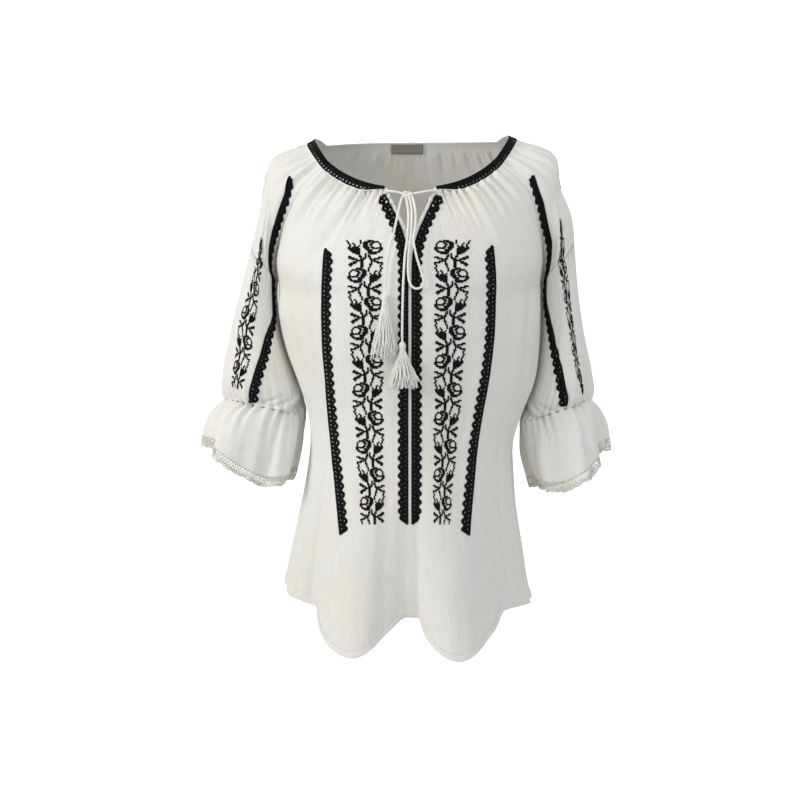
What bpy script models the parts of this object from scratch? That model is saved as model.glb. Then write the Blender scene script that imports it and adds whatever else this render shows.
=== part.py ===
"""A white peasant blouse, filled out as worn, with black lace trims and a tasselled tie.

Lengths are in millimetres and become metres in each mesh. X runs to the viewer's right, the
front faces -Y and +Z is up. The origin is the middle of the neck opening at shoulder height.
Every cloth panel is a lattice of points: its rows run across the piece from the neckline to
the hem or cuff, and its columns run down it.
"""
import math
from collections import namedtuple

import bmesh
import bpy
import numpy as np

MM = 0.001
WALL = 1.2
SEAM_GAP = 0.3
# At a seam no edge is pulled back further than this, nor counted as bent more (radians).
LONGEST_PULL = 2.5
SHARPEST_BEND = 2.6

# Rows 0 to ARMPIT of the front, back and sleeves meet along the raglan seams. Below that the
# front and back meet along the side seams, and each sleeve is a closed tube.
ARMPIT = 6
HALF_COLUMNS = 18
BACK_COLUMNS = 30
SLEEVE_COLUMNS = 28

# The slit's half width at the neckline and the row where it ends.
SLIT_HALF = 29.0
SLIT_END = 3
BINDING = 2.6
BINDING_WALL = 1.6
BINDING_END = 2.72

# Gathers rise to their full height over this many parts of a panel's width from each seam.
GATHER_EDGE = 6

Seam = namedtuple("Seam", "name left right")
Middle = namedtuple("Middle", "name y z arc fall gather")
Ring = namedtuple("Ring", "name outer inner depth arc gather")
Hoop = namedtuple("Hoop", "name outer inner depth dip skew gather flute")
Flute = namedtuple("Flute", "centre outer_width outer_round inner_width inner_round out drop")

FRONT_RAGLAN = [
    Seam("neckline", (-107, -47, -35.5), (110, -47, -32.5)),
    Seam("trim edge", (-115, -52, -46.5), (118, -52, -43.5)),
    Seam("collar bone", (-138, -54, -72), (144, -54, -68)),
    Seam("upper chest", (-152, -49, -98), (157, -49, -93)),
    Seam("armhole front", (-164, -37, -126), (166, -37, -121)),
    Seam("underarm front", (-171, -18, -154), (170, -18, -151)),
    Seam("armpit", (-170, 6, -182), (168, 6, -182)),
]
BACK_RAGLAN = [
    Seam("neckline", (-110, 40, 0), (115, 40, 5)),
    Seam("trim edge", (-121, 47, -9), (126, 47, -4)),
    Seam("shoulder blade", (-136, 57, -32), (141, 57, -28)),
    Seam("upper back", (-149, 62, -64), (154, 62, -60)),
    Seam("armhole back", (-160, 56, -100), (163, 56, -97)),
    Seam("underarm back", (-168, 36, -144), (168, 36, -142)),
    Seam("armpit", (-170, 6, -182), (168, 6, -182)),
]
SIDES = [
    Seam("armpit", (-170, 6, -182), (168, 6, -182)),
    Seam("bust", (-169, 5, -218), (168, 5, -218)),
    Seam("under bust", (-160, 4, -263), (167, 4, -263)),
    Seam("ribs", (-145, 3, -306), (161, 3, -306)),
    Seam("waist", (-133, 2, -345), (147, 2, -345)),
    Seam("below waist", (-129, 1, -390), (134, 1, -390)),
    Seam("high hip", (-134, 0, -435), (134, 0, -435)),
    Seam("hip", (-143, 0, -480), (138, 0, -480)),
    Seam("low hip", (-153, 0, -526), (146, 0, -530)),
    Seam("above hem", (-159, 0, -554), (152, 0, -570)),
    Seam("hem", (-163, 0, -572), (158, 0, -592)),
]
FRONT_MIDDLE = [
    Middle("neckline", -94, -79, 45, 2.1, 0.4),
    Middle("trim edge", -98, -91.5, 50, 2.1, 0.6),
    Middle("collar bone", -106, -118, 58, 2.3, 2.2),
    Middle("upper chest", -115, -146, 70, 2.4, 1.6),
    Middle("armhole front", -121, -172, 82, 2.2, 0.8),
    Middle("underarm front", -124, -196, 90, 2.0, 0.3),
    Middle("armpit", -125, -220, 92, 2.0, 0.0),
    Middle("bust", -123, -250, 92, 2.0, 0.0),
    Middle("under bust", -119, -290, 90, 2.0, 0.0),
    Middle("ribs", -114, -328, 90, 2.0, 0.0),
    Middle("waist", -110, -364, 90, 2.0, 0.0),
    Middle("below waist", -107, -406, 90, 2.0, 0.0),
    Middle("high hip", -105, -449, 90, 2.0, 0.0),
    Middle("hip", -103, -493, 90, 2.0, 0.0),
    Middle("low hip", -100, -543, 90, 2.0, 0.0),
    Middle("above hem", -97, -583, 90, 2.0, 0.0),
    Middle("hem", -95, -606, 90, 2.0, 0.0),
]
BACK_MIDDLE = [
    Middle("neckline", 66, 9, 40, 2.0, 0.4),
    Middle("trim edge", 74, -2, 44, 2.0, 0.6),
    Middle("shoulder blade", 88, -30, 55, 2.0, 2.0),
    Middle("upper back", 95, -64, 68, 2.0, 1.4),
    Middle("armhole back", 97, -102, 80, 2.0, 0.7),
    Middle("underarm back", 96, -144, 90, 2.0, 0.3),
    Middle("armpit", 93, -184, 92, 2.0, 0.0),
    Middle("bust", 89, -220, 92, 2.0, 0.0),
    Middle("under bust", 83, -265, 90, 2.0, 0.0),
    Middle("ribs", 78, -308, 90, 2.0, 0.0),
    Middle("waist", 75, -347, 90, 2.0, 0.0),
    Middle("below waist", 75, -392, 90, 2.0, 0.0),
    Middle("high hip", 78, -437, 90, 2.0, 0.0),
    Middle("hip", 82, -483, 90, 2.0, 0.0),
    Middle("low hip", 87, -534, 90, 2.0, 0.0),
    Middle("above hem", 91, -572, 90, 2.0, 0.0),
    Middle("hem", 93, -592, 90, 2.0, 0.0),
]
# Soft flutes of the hem, by their place between the side seams (-1 left, 1 right). A flank's
# round is the power of its bell: 1 is a cosine's, and less is boxier.
FRONT_FLUTES = [
    Flute(-0.30, 0.212, 0.22, 0.27, 0.6, 50, 46),
    Flute(0.25, 0.28, 0.6, 0.2, 0.25, 52, 47),
]
BACK_FLUTES = [
    Flute(-0.38, 0.26, 0.6, 0.26, 0.6, 30, 16),
    Flute(0.36, 0.27, 0.6, 0.27, 0.6, 28, 15),
]
FLUTE_ROWS = (10, 16)
FLUTE_GROWTH = 2.2

# A sleeve ring goes round from its front edge over the outer point to its back edge. Above
# the armpit those edges are the raglan seams, and below it both are the inner point.
SLEEVES = {
    -1: [
        Ring("neckline", (-122, -5, -2), None, 58, 55, 0.4),
        Ring("trim edge", (-134, -5, -9), None, 58, 65, 0.6),
        Ring("shoulder", (-160, -4, -15), None, 60, 80, 1.5),
        Ring("shoulder point", (-181, -3, -29), None, 59, 95, 0.6),
        Ring("upper arm top", (-189.5, -1, -66), None, 56, 115, 0.2),
        Ring("upper arm", (-196, 0, -104), None, 52, 145, 0.0),
        Ring("armpit", (-205, 4, -137), (-173, 8, -184), 48, 180, 0.0),
        Ring("bust", (-216, 6, -180), (-173, 12, -218), 48, 180, 0.0),
        Ring("mid arm", (-228, 5, -226), (-163.5, 13, -262), 50, 180, 0.0),
        Ring("above elbow", (-237, 4, -268), (-149.5, 12, -303), 53, 180, 0.0),
        Ring("elbow", (-242, 2, -302), (-139.5, 10, -334), 54, 180, 0.2),
        Ring("above elastic", (-241, 1, -323), (-137, 8, -348), 51, 180, 1.3),
        Ring("elastic", (-236, 0, -336), (-139, 6, -358), 46, 180, 2.4),
    ],
    1: [
        Ring("neckline", (127, -5, 2), None, 58, 55, 0.4),
        Ring("trim edge", (139, -5, -3), None, 58, 65, 0.6),
        Ring("shoulder", (168, -4, -10), None, 60, 80, 1.5),
        Ring("shoulder point", (189, -3, -23), None, 59, 95, 0.6),
        Ring("upper arm top", (194, -1, -60), None, 56, 115, 0.2),
        Ring("upper arm", (207, 0, -94), None, 52, 145, 0.0),
        Ring("armpit", (213, 4, -130), (171, 8, -184), 48, 180, 0.0),
        Ring("bust", (216, 6, -174), (171.5, 12, -220), 48, 180, 0.0),
        Ring("mid arm", (221, 5, -222), (170, 13, -264), 50, 180, 0.0),
        Ring("above elbow", (228, 4, -264), (164, 12, -308), 53, 180, 0.0),
        Ring("elbow", (234, 2, -300), (153, 10, -341), 54, 180, 0.2),
        Ring("above elastic", (235, 1, -323), (147, 8, -356), 51, 180, 1.3),
        Ring("elastic", (231, 0, -337), (145.5, 6, -367), 45, 180, 2.4),
    ],
}
RUFFLES = {
    -1: [
        Hoop("elastic", (-236.2, 0, -336.6), (-138.8, 6, -358.6), 46, 0, 0.8, 2.4, 0),
        Hoop("flare", (-254, 0, -350), (-138, 4, -372), 51, 4, 0.8, 2.6, 1.5),
        Hoop("full", (-263, 0, -367), (-140, 2, -393), 57, 11, 0.8, 2.2, 4),
        Hoop("hem", (-266, 0, -383), (-148, 0, -424), 61, 20, 0.8, 1.6, 6),
    ],
    1: [
        Hoop("elastic", (231.2, 0, -337.6), (145.3, 6, -367.6), 45, 0, 0, 2.4, 0),
        Hoop("flare", (244, 0, -352), (145, 4, -384), 50, 4, 0, 2.6, 1.5),
        Hoop("full", (250, 0, -369), (148, 2, -408), 55, 13, 0, 2.2, 4),
        Hoop("hem", (251, 0, -388), (158, 0, -436), 59, 24, 0, 1.6, 6),
    ],
}
LACE_HOOPS = {
    -1: Hoop("lace edge", (-267, 0, -397), (-154, 0, -438), 65, 18, 0.8, 1.2, 7),
    1: Hoop("lace edge", (252, 0, -403), (164, 0, -450), 63, 22, 0, 1.2, 7),
}
RUFFLE_FLUTES = 5
LACE_SCALLOP = 1.6
LACE_GAP = 0.45

# Black trims lie this far off the panels' middle surface.
TRIM_WALL = 1.0
TRIM_CLEAR = 0.5
TRIM_LIFT = WALL / 2 + TRIM_CLEAR + TRIM_WALL / 2
TRIM_WIDTH = 9.8
SLEEVE_TRIM_CLEAR = 0.6
FLUTE_CLEAR = 3.0
SCALLOP_STEP = 5.4
SCALLOP_DEPTH = 3.2
# The neck trim's edges as rows of the panels. Its scallops are shallow, and behind it lies
# lower, so that the back's plain edge shows above it.
NECK_TRIM_ROWS = (-0.06, 0.76)
NECK_TRIM_BACK_ROWS = (0.24, 1.06)
NECK_SCALLOP = 0.09

# Straight edges of the front trims as (x, z), top to bottom, and the side of the scallops.
Strip = namedtuple("Strip", "side scallop_side path pointed")
FRONT_TRIMS = {
    "trim_front_left": Strip(-1, 1, [(-107, -152), (-110, -240), (-104, -350), (-88, -504)], False),
    "trim_front_right": Strip(1, -1, [(102, -149), (105, -201), (101, -280), (84, -388), (73, -504)], False),
    "trim_centre_left": Strip(
        -1, -1, [(-28, -91), (-16.8, -114), (-10.2, -130), (-5.8, -146), (-3.5, -162), (-2.8, -180),
                 (-2.8, -205), (-2.8, -250), (-2.8, -340), (-2.8, -490)], True),
    "trim_centre_right": Strip(
        1, 1, [(28, -91), (16.8, -114), (10.0, -130), (5.0, -146), (2.0, -162), (1.0, -180),
               (0.9, -205), (0.9, -250), (0.9, -340), (0.9, -490)], True),
}
# Angle of a sleeve trim's straight edge round the ring from the outer point, by row.
SLEEVE_ROW_LENGTH = 30.0
SleeveTrim = namedtuple("SleeveTrim", "row angle")
SLEEVE_TRIMS = {
    -1: [
        SleeveTrim(2.2, 57), SleeveTrim(2.8, 73.5), SleeveTrim(3.4, 83), SleeveTrim(4.2, 95),
        SleeveTrim(5.2, 114), SleeveTrim(6.2, 136), SleeveTrim(7.2, 139), SleeveTrim(8.1, 109.5),
        SleeveTrim(8.9, 93), SleeveTrim(9.6, 82.5), SleeveTrim(10.5, 75), SleeveTrim(11.6, 70),
    ],
    1: [
        SleeveTrim(2.1, 62), SleeveTrim(2.7, 75), SleeveTrim(3.3, 84), SleeveTrim(3.8, 92),
        SleeveTrim(4.4, 102), SleeveTrim(5.1, 116), SleeveTrim(5.9, 136), SleeveTrim(6.8, 141),
        SleeveTrim(7.4, 130), SleeveTrim(7.9, 119), SleeveTrim(8.5, 108), SleeveTrim(9.1, 97),
        SleeveTrim(9.9, 86.5), SleeveTrim(11.1, 77), SleeveTrim(11.6, 74.5),
    ],
}

CORD = 3.2
KNOT = (-4.2, -101, -85.5)
KNOT_RADII = (6.0, 4.2, 4.4)
CORDS = {
    "tie_bridge_left": [(-30, -97, -80.5), (-22, -99.5, -81.8), (-16, -100.5, -83), (-10.9, -101, -84.6)],
    "tie_bridge_right": [(32, -97, -79.5), (22, -99.5, -81.2), (11, -100.8, -83.4), (2.5, -101, -85)],
    "tie_tail_left": [
        (-10.6, -102.5, -90), (-13, -105, -98), (-16, -110, -112), (-20.4, -117.5, -133),
        (-26, -123, -152.7), (-29.6, -126.5, -175), (-30.5, -128, -192), (-31, -128.5, -209.2),
    ],
    "tie_tail_centre": [
        (-5.2, -103, -91.8), (-3.6, -106, -102), (-2.8, -110.5, -114), (-3.6, -118, -134),
        (-5.4, -122, -150.5), (-7.4, -126, -167), (-9, -129, -195), (-10, -129.5, -229),
        (-10.4, -128.5, -250), (-10.4, -128, -267.4),
    ],
    "tie_loop": [
        (-1.3, -103, -91.6), (1.0, -106, -102), (1.2, -111, -114), (0.6, -118, -134), (-0.8, -122.4, -148.6),
        (-2.8, -126, -162.7), (-3.4, -128, -181), (-2.2, -128.6, -193.3), (1.3, -128.8, -200.7),
        (6.9, -128.8, -203.6), (13, -128.8, -201.2), (15.4, -128.8, -193), (11.4, -128.8, -179.5),
        (6.4, -128.6, -162.5), (3.2, -127.4, -145), (5.0, -121.4, -129.5), (6.0, -112.5, -111),
        (2.5, -104, -91),
    ],
}
CORD_STEP = 8.6

Tassel = namedtuple("Tassel", "head length reach_left reach_right depth strands")
TASSELS = {
    "tassel_left": Tassel((-31, -128.5, -215), 74, 19, 14, 8, 20),
    "tassel_centre": Tassel((-10.4, -128, -273.2), 52, 19, 23, 8, 20),
}
HEAD_RADII = (4.4, 4.2, 5.6)
# The strands start inside the head, on an oval this wide and deep, this far under its middle.
ROOT_WIDTH = 3.6
ROOT_DEPTH = 3.24
ROOT_DROP = 2.2
STRAND_ROOT = 0.62
STRAND_TIP = 1.15
STRAND_UNEVEN = 2.5
STRAND_BACK = 2.0

LABEL_X = (-25, 18)
LABEL_ROWS = (0.15, 1.25)


def blend(rows, v):
    """Smooth value at row v of a list of numbers or points (Catmull-Rom, straight ends)."""
    table = np.array(rows, float)
    v = np.clip(np.asarray(v, float), 0, len(table) - 1)
    i = np.minimum(v.astype(int), len(table) - 2)
    f = (v - i).reshape(v.shape + (1,) * (table.ndim - 1))
    last = len(table) - 1
    before = table[np.maximum(i - 1, 0)]
    start = table[i]
    end = table[i + 1]
    after = table[np.minimum(i + 2, last)]
    return start + 0.5 * f * (end - before + f * (2 * before - 5 * start + 4 * end - after
                                                  + f * (3 * (start - end) + after - before)))


def seam_point(raglan, side, v):
    """Point of the raglan seam above the armpit and of the side seam below it."""
    pick = (lambda row: row.left) if side < 0 else (lambda row: row.right)
    above = blend([pick(row) for row in raglan], v)
    below = blend([pick(row) for row in SIDES], np.asarray(v, float) - ARMPIT)
    return np.where((np.asarray(v) <= ARMPIT)[..., None], above, below)


def flute_growth(v):
    """Share of their full size that the hem's flutes have at row v."""
    first, last = FLUTE_ROWS
    return np.clip((np.asarray(v, float) - first) / (last - first), 0, 1) ** FLUTE_GROWTH


def torso_point(raglan, middle, flutes, side, s, v):
    """Point of the front or back at share s (0 centre, 1 seam) of row v.

    Each half row is an arc of a circle seen from above, stretched to reach the seam, whose
    height rises from the centre's to the seam's as s to the power fall.
    """
    seam = seam_point(raglan, side, v)
    y, z, arc, fall = np.moveaxis(blend([row[1:5] for row in middle], v), -1, 0)
    angle = np.radians(arc)
    across = np.sin(s * angle) / np.sin(angle)
    round_back = (1 - np.cos(s * angle)) / (1 - np.cos(angle))
    x = seam[..., 0] * across
    y = y + (seam[..., 1] - y) * round_back
    z = z + (seam[..., 2] - z) * s ** fall
    growth = flute_growth(v)
    outward = np.sign(middle[-1].y)
    for flute in flutes:
        apart = side * s - flute.centre
        outer = apart * np.sign(flute.centre) > 0
        width = np.where(outer, flute.outer_width, flute.inner_width)
        power = np.where(outer, flute.outer_round, flute.inner_round)
        bell = np.clip((1 + np.cos(np.pi * np.clip(np.abs(apart) / width, 0, 1))) / 2, 0, 1) ** power
        y = y + outward * flute.out * growth * bell
        z = z - flute.drop * growth ** 1.5 * bell
    return np.stack([x, y, z], axis=-1)


def front_share(side, t, v):
    """Share s of the half row for t, from 0 at the slit or centre to 1 at the seam."""
    row = np.clip(v, 0, SLIT_END)
    top = FRONT_MIDDLE[0].z
    bottom = FRONT_MIDDLE[SLIT_END].z
    height = blend([m.z for m in FRONT_MIDDLE], row)
    opening = (SLIT_HALF + BINDING + SEAM_GAP) * (height - bottom) / (top - bottom)
    angle = np.radians(blend([m.arc for m in FRONT_MIDDLE], row))
    seam = np.abs(seam_point(FRONT_RAGLAN, side, row)[..., 0])
    start = np.arcsin(opening * np.sin(angle) / seam) / angle
    return start + (1 - start) * t


def front_point(side, t, v):
    return torso_point(FRONT_RAGLAN, FRONT_MIDDLE, FRONT_FLUTES, side, front_share(side, t, v), v)


def back_point(u, v):
    side = np.where(np.asarray(u) < 0, -1, 1)
    left = torso_point(BACK_RAGLAN, BACK_MIDDLE, BACK_FLUTES, -1, np.abs(u), v)
    right = torso_point(BACK_RAGLAN, BACK_MIDDLE, BACK_FLUTES, 1, np.abs(u), v)
    return np.where((side < 0)[..., None], left, right)


def sleeve_point(side, turn, v):
    """Point of a sleeve, turn running from 1 at the front edge over 0 outside to -1 behind."""
    rings = SLEEVES[side]
    v = np.asarray(v, float)
    inner = blend([ring.inner for ring in rings[ARMPIT:]], v - ARMPIT)
    upper = (v <= ARMPIT)[..., None]
    front = np.where(upper, seam_point(FRONT_RAGLAN, side, np.minimum(v, ARMPIT)), inner)
    back = np.where(upper, seam_point(BACK_RAGLAN, side, np.minimum(v, ARMPIT)), inner)
    ease = np.clip((v - ARMPIT + 4) / 4, 0, 1)[..., None] ** 1.5
    step_out = np.array(rings[ARMPIT].inner) - seam_point(FRONT_RAGLAN, side, ARMPIT)
    front = np.where(upper, front + ease * step_out, front)
    back = np.where(upper, back + ease * step_out, back)
    outer = blend([ring.outer for ring in rings], v)
    depth, arc = np.moveaxis(blend([ring[3:5] for ring in rings], v), -1, 0)
    arc = np.radians(np.where(v >= ARMPIT, 180, np.minimum(arc, 180)))
    middle = (front + back) / 2
    chord = front - back
    half_chord = np.linalg.norm(chord, axis=-1) / 2
    forward = np.where((half_chord > 1)[..., None], chord / np.maximum(2 * half_chord, 1)[..., None],
                       np.array([0.0, -1.0, 0.0]))
    angle = turn * arc
    height = ((np.cos(angle) - np.cos(arc)) / (1 - np.cos(arc)))[..., None]
    reach = depth * np.sin(angle) + (half_chord - depth * np.sin(arc)) * turn
    return middle + (outer - middle) * height + forward * reach[..., None]


def hoop_point(hoops, turn, v):
    """Point of a ruffle cuff, turn from 1 to -1 as on the sleeve.

    Its lower edges hang in a dip in front and behind, which skew moves towards the body.
    """
    outer = blend([hoop.outer for hoop in hoops], v)
    inner = blend([hoop.inner for hoop in hoops], v)
    depth, dip, skew, gather, flute = np.moveaxis(blend([hoop[3:8] for hoop in hoops], v), -1, 0)
    angle = np.pi * turn
    wave = gather * np.cos(SLEEVE_COLUMNS / 2 * angle) + flute * np.cos(RUFFLE_FLUTES * angle + 0.6)
    height = (1 + np.cos(angle)) / 2
    out = np.sign(outer[..., 0]) * wave * np.cos(angle)
    point = inner + (outer - inner) * height[..., None]
    hang = dip * np.sin(angle) ** 2 * (1 - skew * np.cos(angle))
    return point + np.stack([out, -(depth + wave) * np.sin(angle), -hang], axis=-1)


def rows_and_columns(row_count, column_values):
    v = np.arange(row_count, dtype=float)[:, None] + 0 * column_values[None, :]
    return v, column_values[None, :] + 0 * v


def front_lattice(side):
    v, t = rows_and_columns(len(FRONT_MIDDLE), np.linspace(0, 1, HALF_COLUMNS + 1))
    return front_point(side, t, v)


def back_lattice():
    v, u = rows_and_columns(len(BACK_MIDDLE), np.linspace(-1, 1, BACK_COLUMNS + 1))
    return back_point(u, v)


def sleeve_lattice(side):
    v, turn = rows_and_columns(len(SLEEVES[side]), np.linspace(1, -1, SLEEVE_COLUMNS + 1))
    return sleeve_point(side, turn, v)


def ruffle_lattice(side):
    v, turn = rows_and_columns(len(RUFFLES[side]), np.linspace(1, -1, SLEEVE_COLUMNS + 1))
    return hoop_point(RUFFLES[side], turn, v)


def unit(vectors):
    return vectors / np.maximum(np.linalg.norm(vectors, axis=-1, keepdims=True), 1e-9)


def lattice_normals(lattice, outward):
    """Unit normals at the lattice points, turned to the side that outward points to."""
    down = np.gradient(lattice, axis=0)
    across = np.gradient(lattice, axis=1)
    normals = unit(np.cross(down, across))
    facing = np.sum(normals * outward, axis=-1, keepdims=True)
    return np.where(facing < 0, -normals, normals)


def torso_outward(lattice):
    """Rough outward direction of a torso panel's points."""
    return unit(lattice * np.array([1.0, 1.0, 0.0]) + np.array([0.0, 0.0, 0.001]))


def tube_outward(lattice):
    """Rough outward direction of a sleeve's or cuff's points, away from each row's middle."""
    return unit(lattice - lattice.mean(axis=1, keepdims=True))


def edge_fade(share):
    """Share of the gathers' height at a share of a panel's width between its two seams."""
    return np.clip(np.minimum(share, 1 - share) * GATHER_EDGE, 0, 1)


def gathered(lattice, normals, heights, fade):
    """The lattice with its columns in turn raised and sunk by the row's gather height."""
    wave = np.where(np.arange(lattice.shape[1]) % 2 == 0, 1.0, -1.0)
    return lattice + normals * (np.array(heights)[:, None] * wave * fade)[..., None]


def seam_pull(inward_a, inward_b):
    """How far each edge stops short of a seam, so that the two walls stay SEAM_GAP apart."""
    cosine = np.clip(np.dot(inward_a, inward_b), -1, 1)
    bend = math.pi - math.acos(cosine)
    return min(SEAM_GAP / 2 + WALL / 2 * math.tan(min(bend, SHARPEST_BEND) / 2), LONGEST_PULL)


def part_at_seam(first, first_column, second, second_column, rows):
    """Moves the two lattices' edge points away from their shared seam."""
    for row in rows:
        step_a = 1 if first_column == 0 else -1
        step_b = 1 if second_column == 0 else -1
        inward_a = unit(first[row, first_column + step_a] - first[row, first_column])
        inward_b = unit(second[row, second_column + step_b] - second[row, second_column])
        pull = seam_pull(inward_a, inward_b)
        first[row, first_column] = first[row, first_column] + inward_a * pull
        second[row, second_column] = second[row, second_column] + inward_b * pull


def on_lattice(lattice, v, k):
    """Point at row v and column k, on the flat faces between the lattice's points."""
    rows, columns = lattice.shape[:2]
    i = int(min(max(math.floor(v), 0), rows - 2))
    j = int(min(max(math.floor(k), 0), columns - 2))
    f = v - i
    g = k - j
    upper = lattice[i, j] * (1 - g) + lattice[i, j + 1] * g
    lower = lattice[i + 1, j] * (1 - g) + lattice[i + 1, j + 1] * g
    return upper * (1 - f) + lower * f


def material(name, colour, roughness):
    made = bpy.data.materials.new(name)
    made.use_nodes = True
    shader = made.node_tree.nodes["Principled BSDF"]
    shader.inputs["Base Color"].default_value = (*colour, 1)
    shader.inputs["Roughness"].default_value = roughness
    shader.inputs["Metallic"].default_value = 0
    return made


def add_object(name, mesh, look):
    made = bpy.data.objects.new(name, mesh)
    bpy.data.collections["Blouse"].objects.link(made)
    mesh.materials.append(look)
    return made


def sheet(name, lattice, look, wall=WALL, skip_column=None):
    """A cloth wall through the lattice's points, half of it on each side."""
    rows, columns = lattice.shape[:2]
    shape = bmesh.new()
    points = [[shape.verts.new(lattice[i, j] * MM) for j in range(columns)] for i in range(rows)]
    for i in range(rows - 1):
        for j in range(columns - 1):
            if j != skip_column:
                shape.faces.new([points[i][j], points[i + 1][j], points[i + 1][j + 1], points[i][j + 1]])
    bmesh.ops.remove_doubles(shape, verts=shape.verts, dist=1e-6)
    mesh = bpy.data.meshes.new(name)
    shape.to_mesh(mesh)
    shape.free()
    made = add_object(name, mesh, look)
    thick = made.modifiers.new("Wall", "SOLIDIFY")
    thick.thickness = wall * MM
    thick.offset = 0
    thick.use_even_offset = True
    return made


def build_panels(looks):
    """The front, back and sleeves, parted at their seams and gathered at the neckline."""
    fronts = {side: front_lattice(side) for side in (-1, 1)}
    back = back_lattice()
    sleeves = {side: sleeve_lattice(side) for side in (-1, 1)}
    plain = {"front": {side: fronts[side].copy() for side in fronts}, "back": back.copy(),
             "sleeve": {side: sleeves[side].copy() for side in sleeves}}
    shared = range(ARMPIT)
    below = range(ARMPIT, len(SIDES) + ARMPIT)
    for side in (-1, 1):
        back_column = 0 if side < 0 else BACK_COLUMNS
        part_at_seam(fronts[side], HALF_COLUMNS, sleeves[side], 0, shared)
        part_at_seam(back, back_column, sleeves[side], SLEEVE_COLUMNS, shared)
        part_at_seam(fronts[side], HALF_COLUMNS, back, back_column, below)
        fade = edge_fade(np.linspace(0, 1, HALF_COLUMNS + 1))
        normals = lattice_normals(fronts[side], torso_outward(fronts[side]))
        fronts[side] = gathered(fronts[side], normals, [row.gather for row in FRONT_MIDDLE], fade)
        above = np.arange(len(SLEEVES[side]))[:, None] < ARMPIT
        fade = np.where(above, edge_fade(np.linspace(0, 1, SLEEVE_COLUMNS + 1)), 1.0)
        normals = lattice_normals(sleeves[side], tube_outward(sleeves[side]))
        sleeves[side] = gathered(sleeves[side], normals, [ring.gather for ring in SLEEVES[side]], fade)
        sleeves[side][ARMPIT:, SLEEVE_COLUMNS] = sleeves[side][ARMPIT:, 0]
    fade = edge_fade(np.linspace(0, 1, BACK_COLUMNS + 1))
    normals = lattice_normals(back, torso_outward(back))
    back = gathered(back, normals, [row.gather for row in BACK_MIDDLE], fade)
    for side, word in ((-1, "left"), (1, "right")):
        build_cuff(side, word, sleeves[side], looks)
    whole_front = np.concatenate([fronts[-1][:, ::-1], fronts[1]], axis=1)
    sheet("front_panel", whole_front, looks["cloth"], skip_column=HALF_COLUMNS)
    sheet("back_panel", back, looks["cloth"])
    return plain


def build_cuff(side, word, sleeve, looks):
    """A ruffle cuff, parted from its sleeve at the elastic, and the white lace on its hem."""
    ruffle = ruffle_lattice(side)
    ruffle[0] = sleeve[-1]
    round_sleeve = sleeve.transpose(1, 0, 2)
    round_ruffle = ruffle.transpose(1, 0, 2)
    part_at_seam(round_sleeve, len(sleeve) - 1, round_ruffle, 0, range(SLEEVE_COLUMNS + 1))
    sleeve[ARMPIT:, -1] = sleeve[ARMPIT:, 0]
    ruffle[:, -1] = ruffle[:, 0]
    sheet("sleeve_" + word, sleeve, looks["cloth"])
    sheet("ruffle_" + word, ruffle, looks["cloth"])
    count = SLEEVE_COLUMNS * 2
    turn = np.linspace(1, -1, count + 1)
    edge = hoop_point([LACE_HOOPS[side], LACE_HOOPS[side]], turn, 0 * turn)
    rows = []
    for j in range(count + 1):
        top = on_lattice(ruffle, len(ruffle) - 1, j / 2)
        down = unit(edge[j] - top)
        scallop = LACE_SCALLOP if j % 2 else 0.0
        rows.append([top + down * LACE_GAP, edge[j] + down * scallop])
    lace = np.array(rows).transpose(1, 0, 2)
    lace[:, -1] = lace[:, 0]
    sheet("cuff_lace_" + word, lace, looks["white lace"], wall=TRIM_WALL)


def row_at_height(side, x, z):
    """Column share and row where the front has the given x and z."""
    low = 0.0
    high = float(len(FRONT_MIDDLE) - 1)
    for _ in range(40):
        row = (low + high) / 2
        angle = math.radians(float(blend([m.arc for m in FRONT_MIDDLE], row)))
        seam = abs(float(seam_point(FRONT_RAGLAN, side, row)[0]))
        share = math.asin(min(abs(x) * math.sin(angle) / seam, 1.0)) / angle
        height = float(torso_point(FRONT_RAGLAN, FRONT_MIDDLE, FRONT_FLUTES, side, share, row)[2])
        if height > z:
            low = row
        else:
            high = row
    start = float(front_share(side, 0.0, row))
    return (share - start) / (1 - start), row


def spread(path, step):
    """Points along a smooth curve through the path's points, about one step apart."""
    path = np.array(path, float)
    fine = blend(path, np.linspace(0, len(path) - 1, 40 * len(path)))
    run = np.concatenate([[0], np.cumsum(np.linalg.norm(np.diff(fine, axis=0), axis=1))])
    count = max(int(round(run[-1] / step)), 2)
    wanted = np.linspace(0, run[-1], count + 1)
    return np.stack([np.interp(wanted, run, fine[:, axis]) for axis in range(fine.shape[1])], axis=1)


def lifted(lattice, normals, v, k, lift):
    """Point of the lattice's flat faces, moved out by lift."""
    return on_lattice(lattice, v, k) + unit(on_lattice(normals, v, k)) * lift


def scallop_at(index):
    """Height of the scalloped edge at a station: low between two scallops, high at a tip."""
    return SCALLOP_DEPTH if index % 2 else 0.0


def build_front_trims(plain, looks):
    """Black lace strips on the front."""
    for name, strip in FRONT_TRIMS.items():
        lattice = plain["front"][strip.side]
        normals = lattice_normals(lattice, torso_outward(lattice))
        path = spread(strip.path, SCALLOP_STEP)
        along = unit(np.gradient(path, axis=0))
        aside = np.stack([-along[:, 1], along[:, 0]], axis=1) * strip.scallop_side
        rows = []
        for index, point in enumerate(path):
            width = TRIM_WIDTH + scallop_at(index)
            if strip.pointed and index == len(path) - 1:
                width = TRIM_WIDTH / 4
            station = []
            for reach in (0.0, width):
                x, z = point + aside[index] * reach
                t, row = row_at_height(strip.side, x, z)
                lift = TRIM_LIFT + float(blend([m.gather for m in FRONT_MIDDLE], row))
                lift += FLUTE_CLEAR * float(flute_growth(row))
                station.append(lifted(lattice, normals, row, t * HALF_COLUMNS, lift))
            rows.append(station)
        sheet(name, np.array(rows), looks["black lace"], wall=TRIM_WALL)


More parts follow.
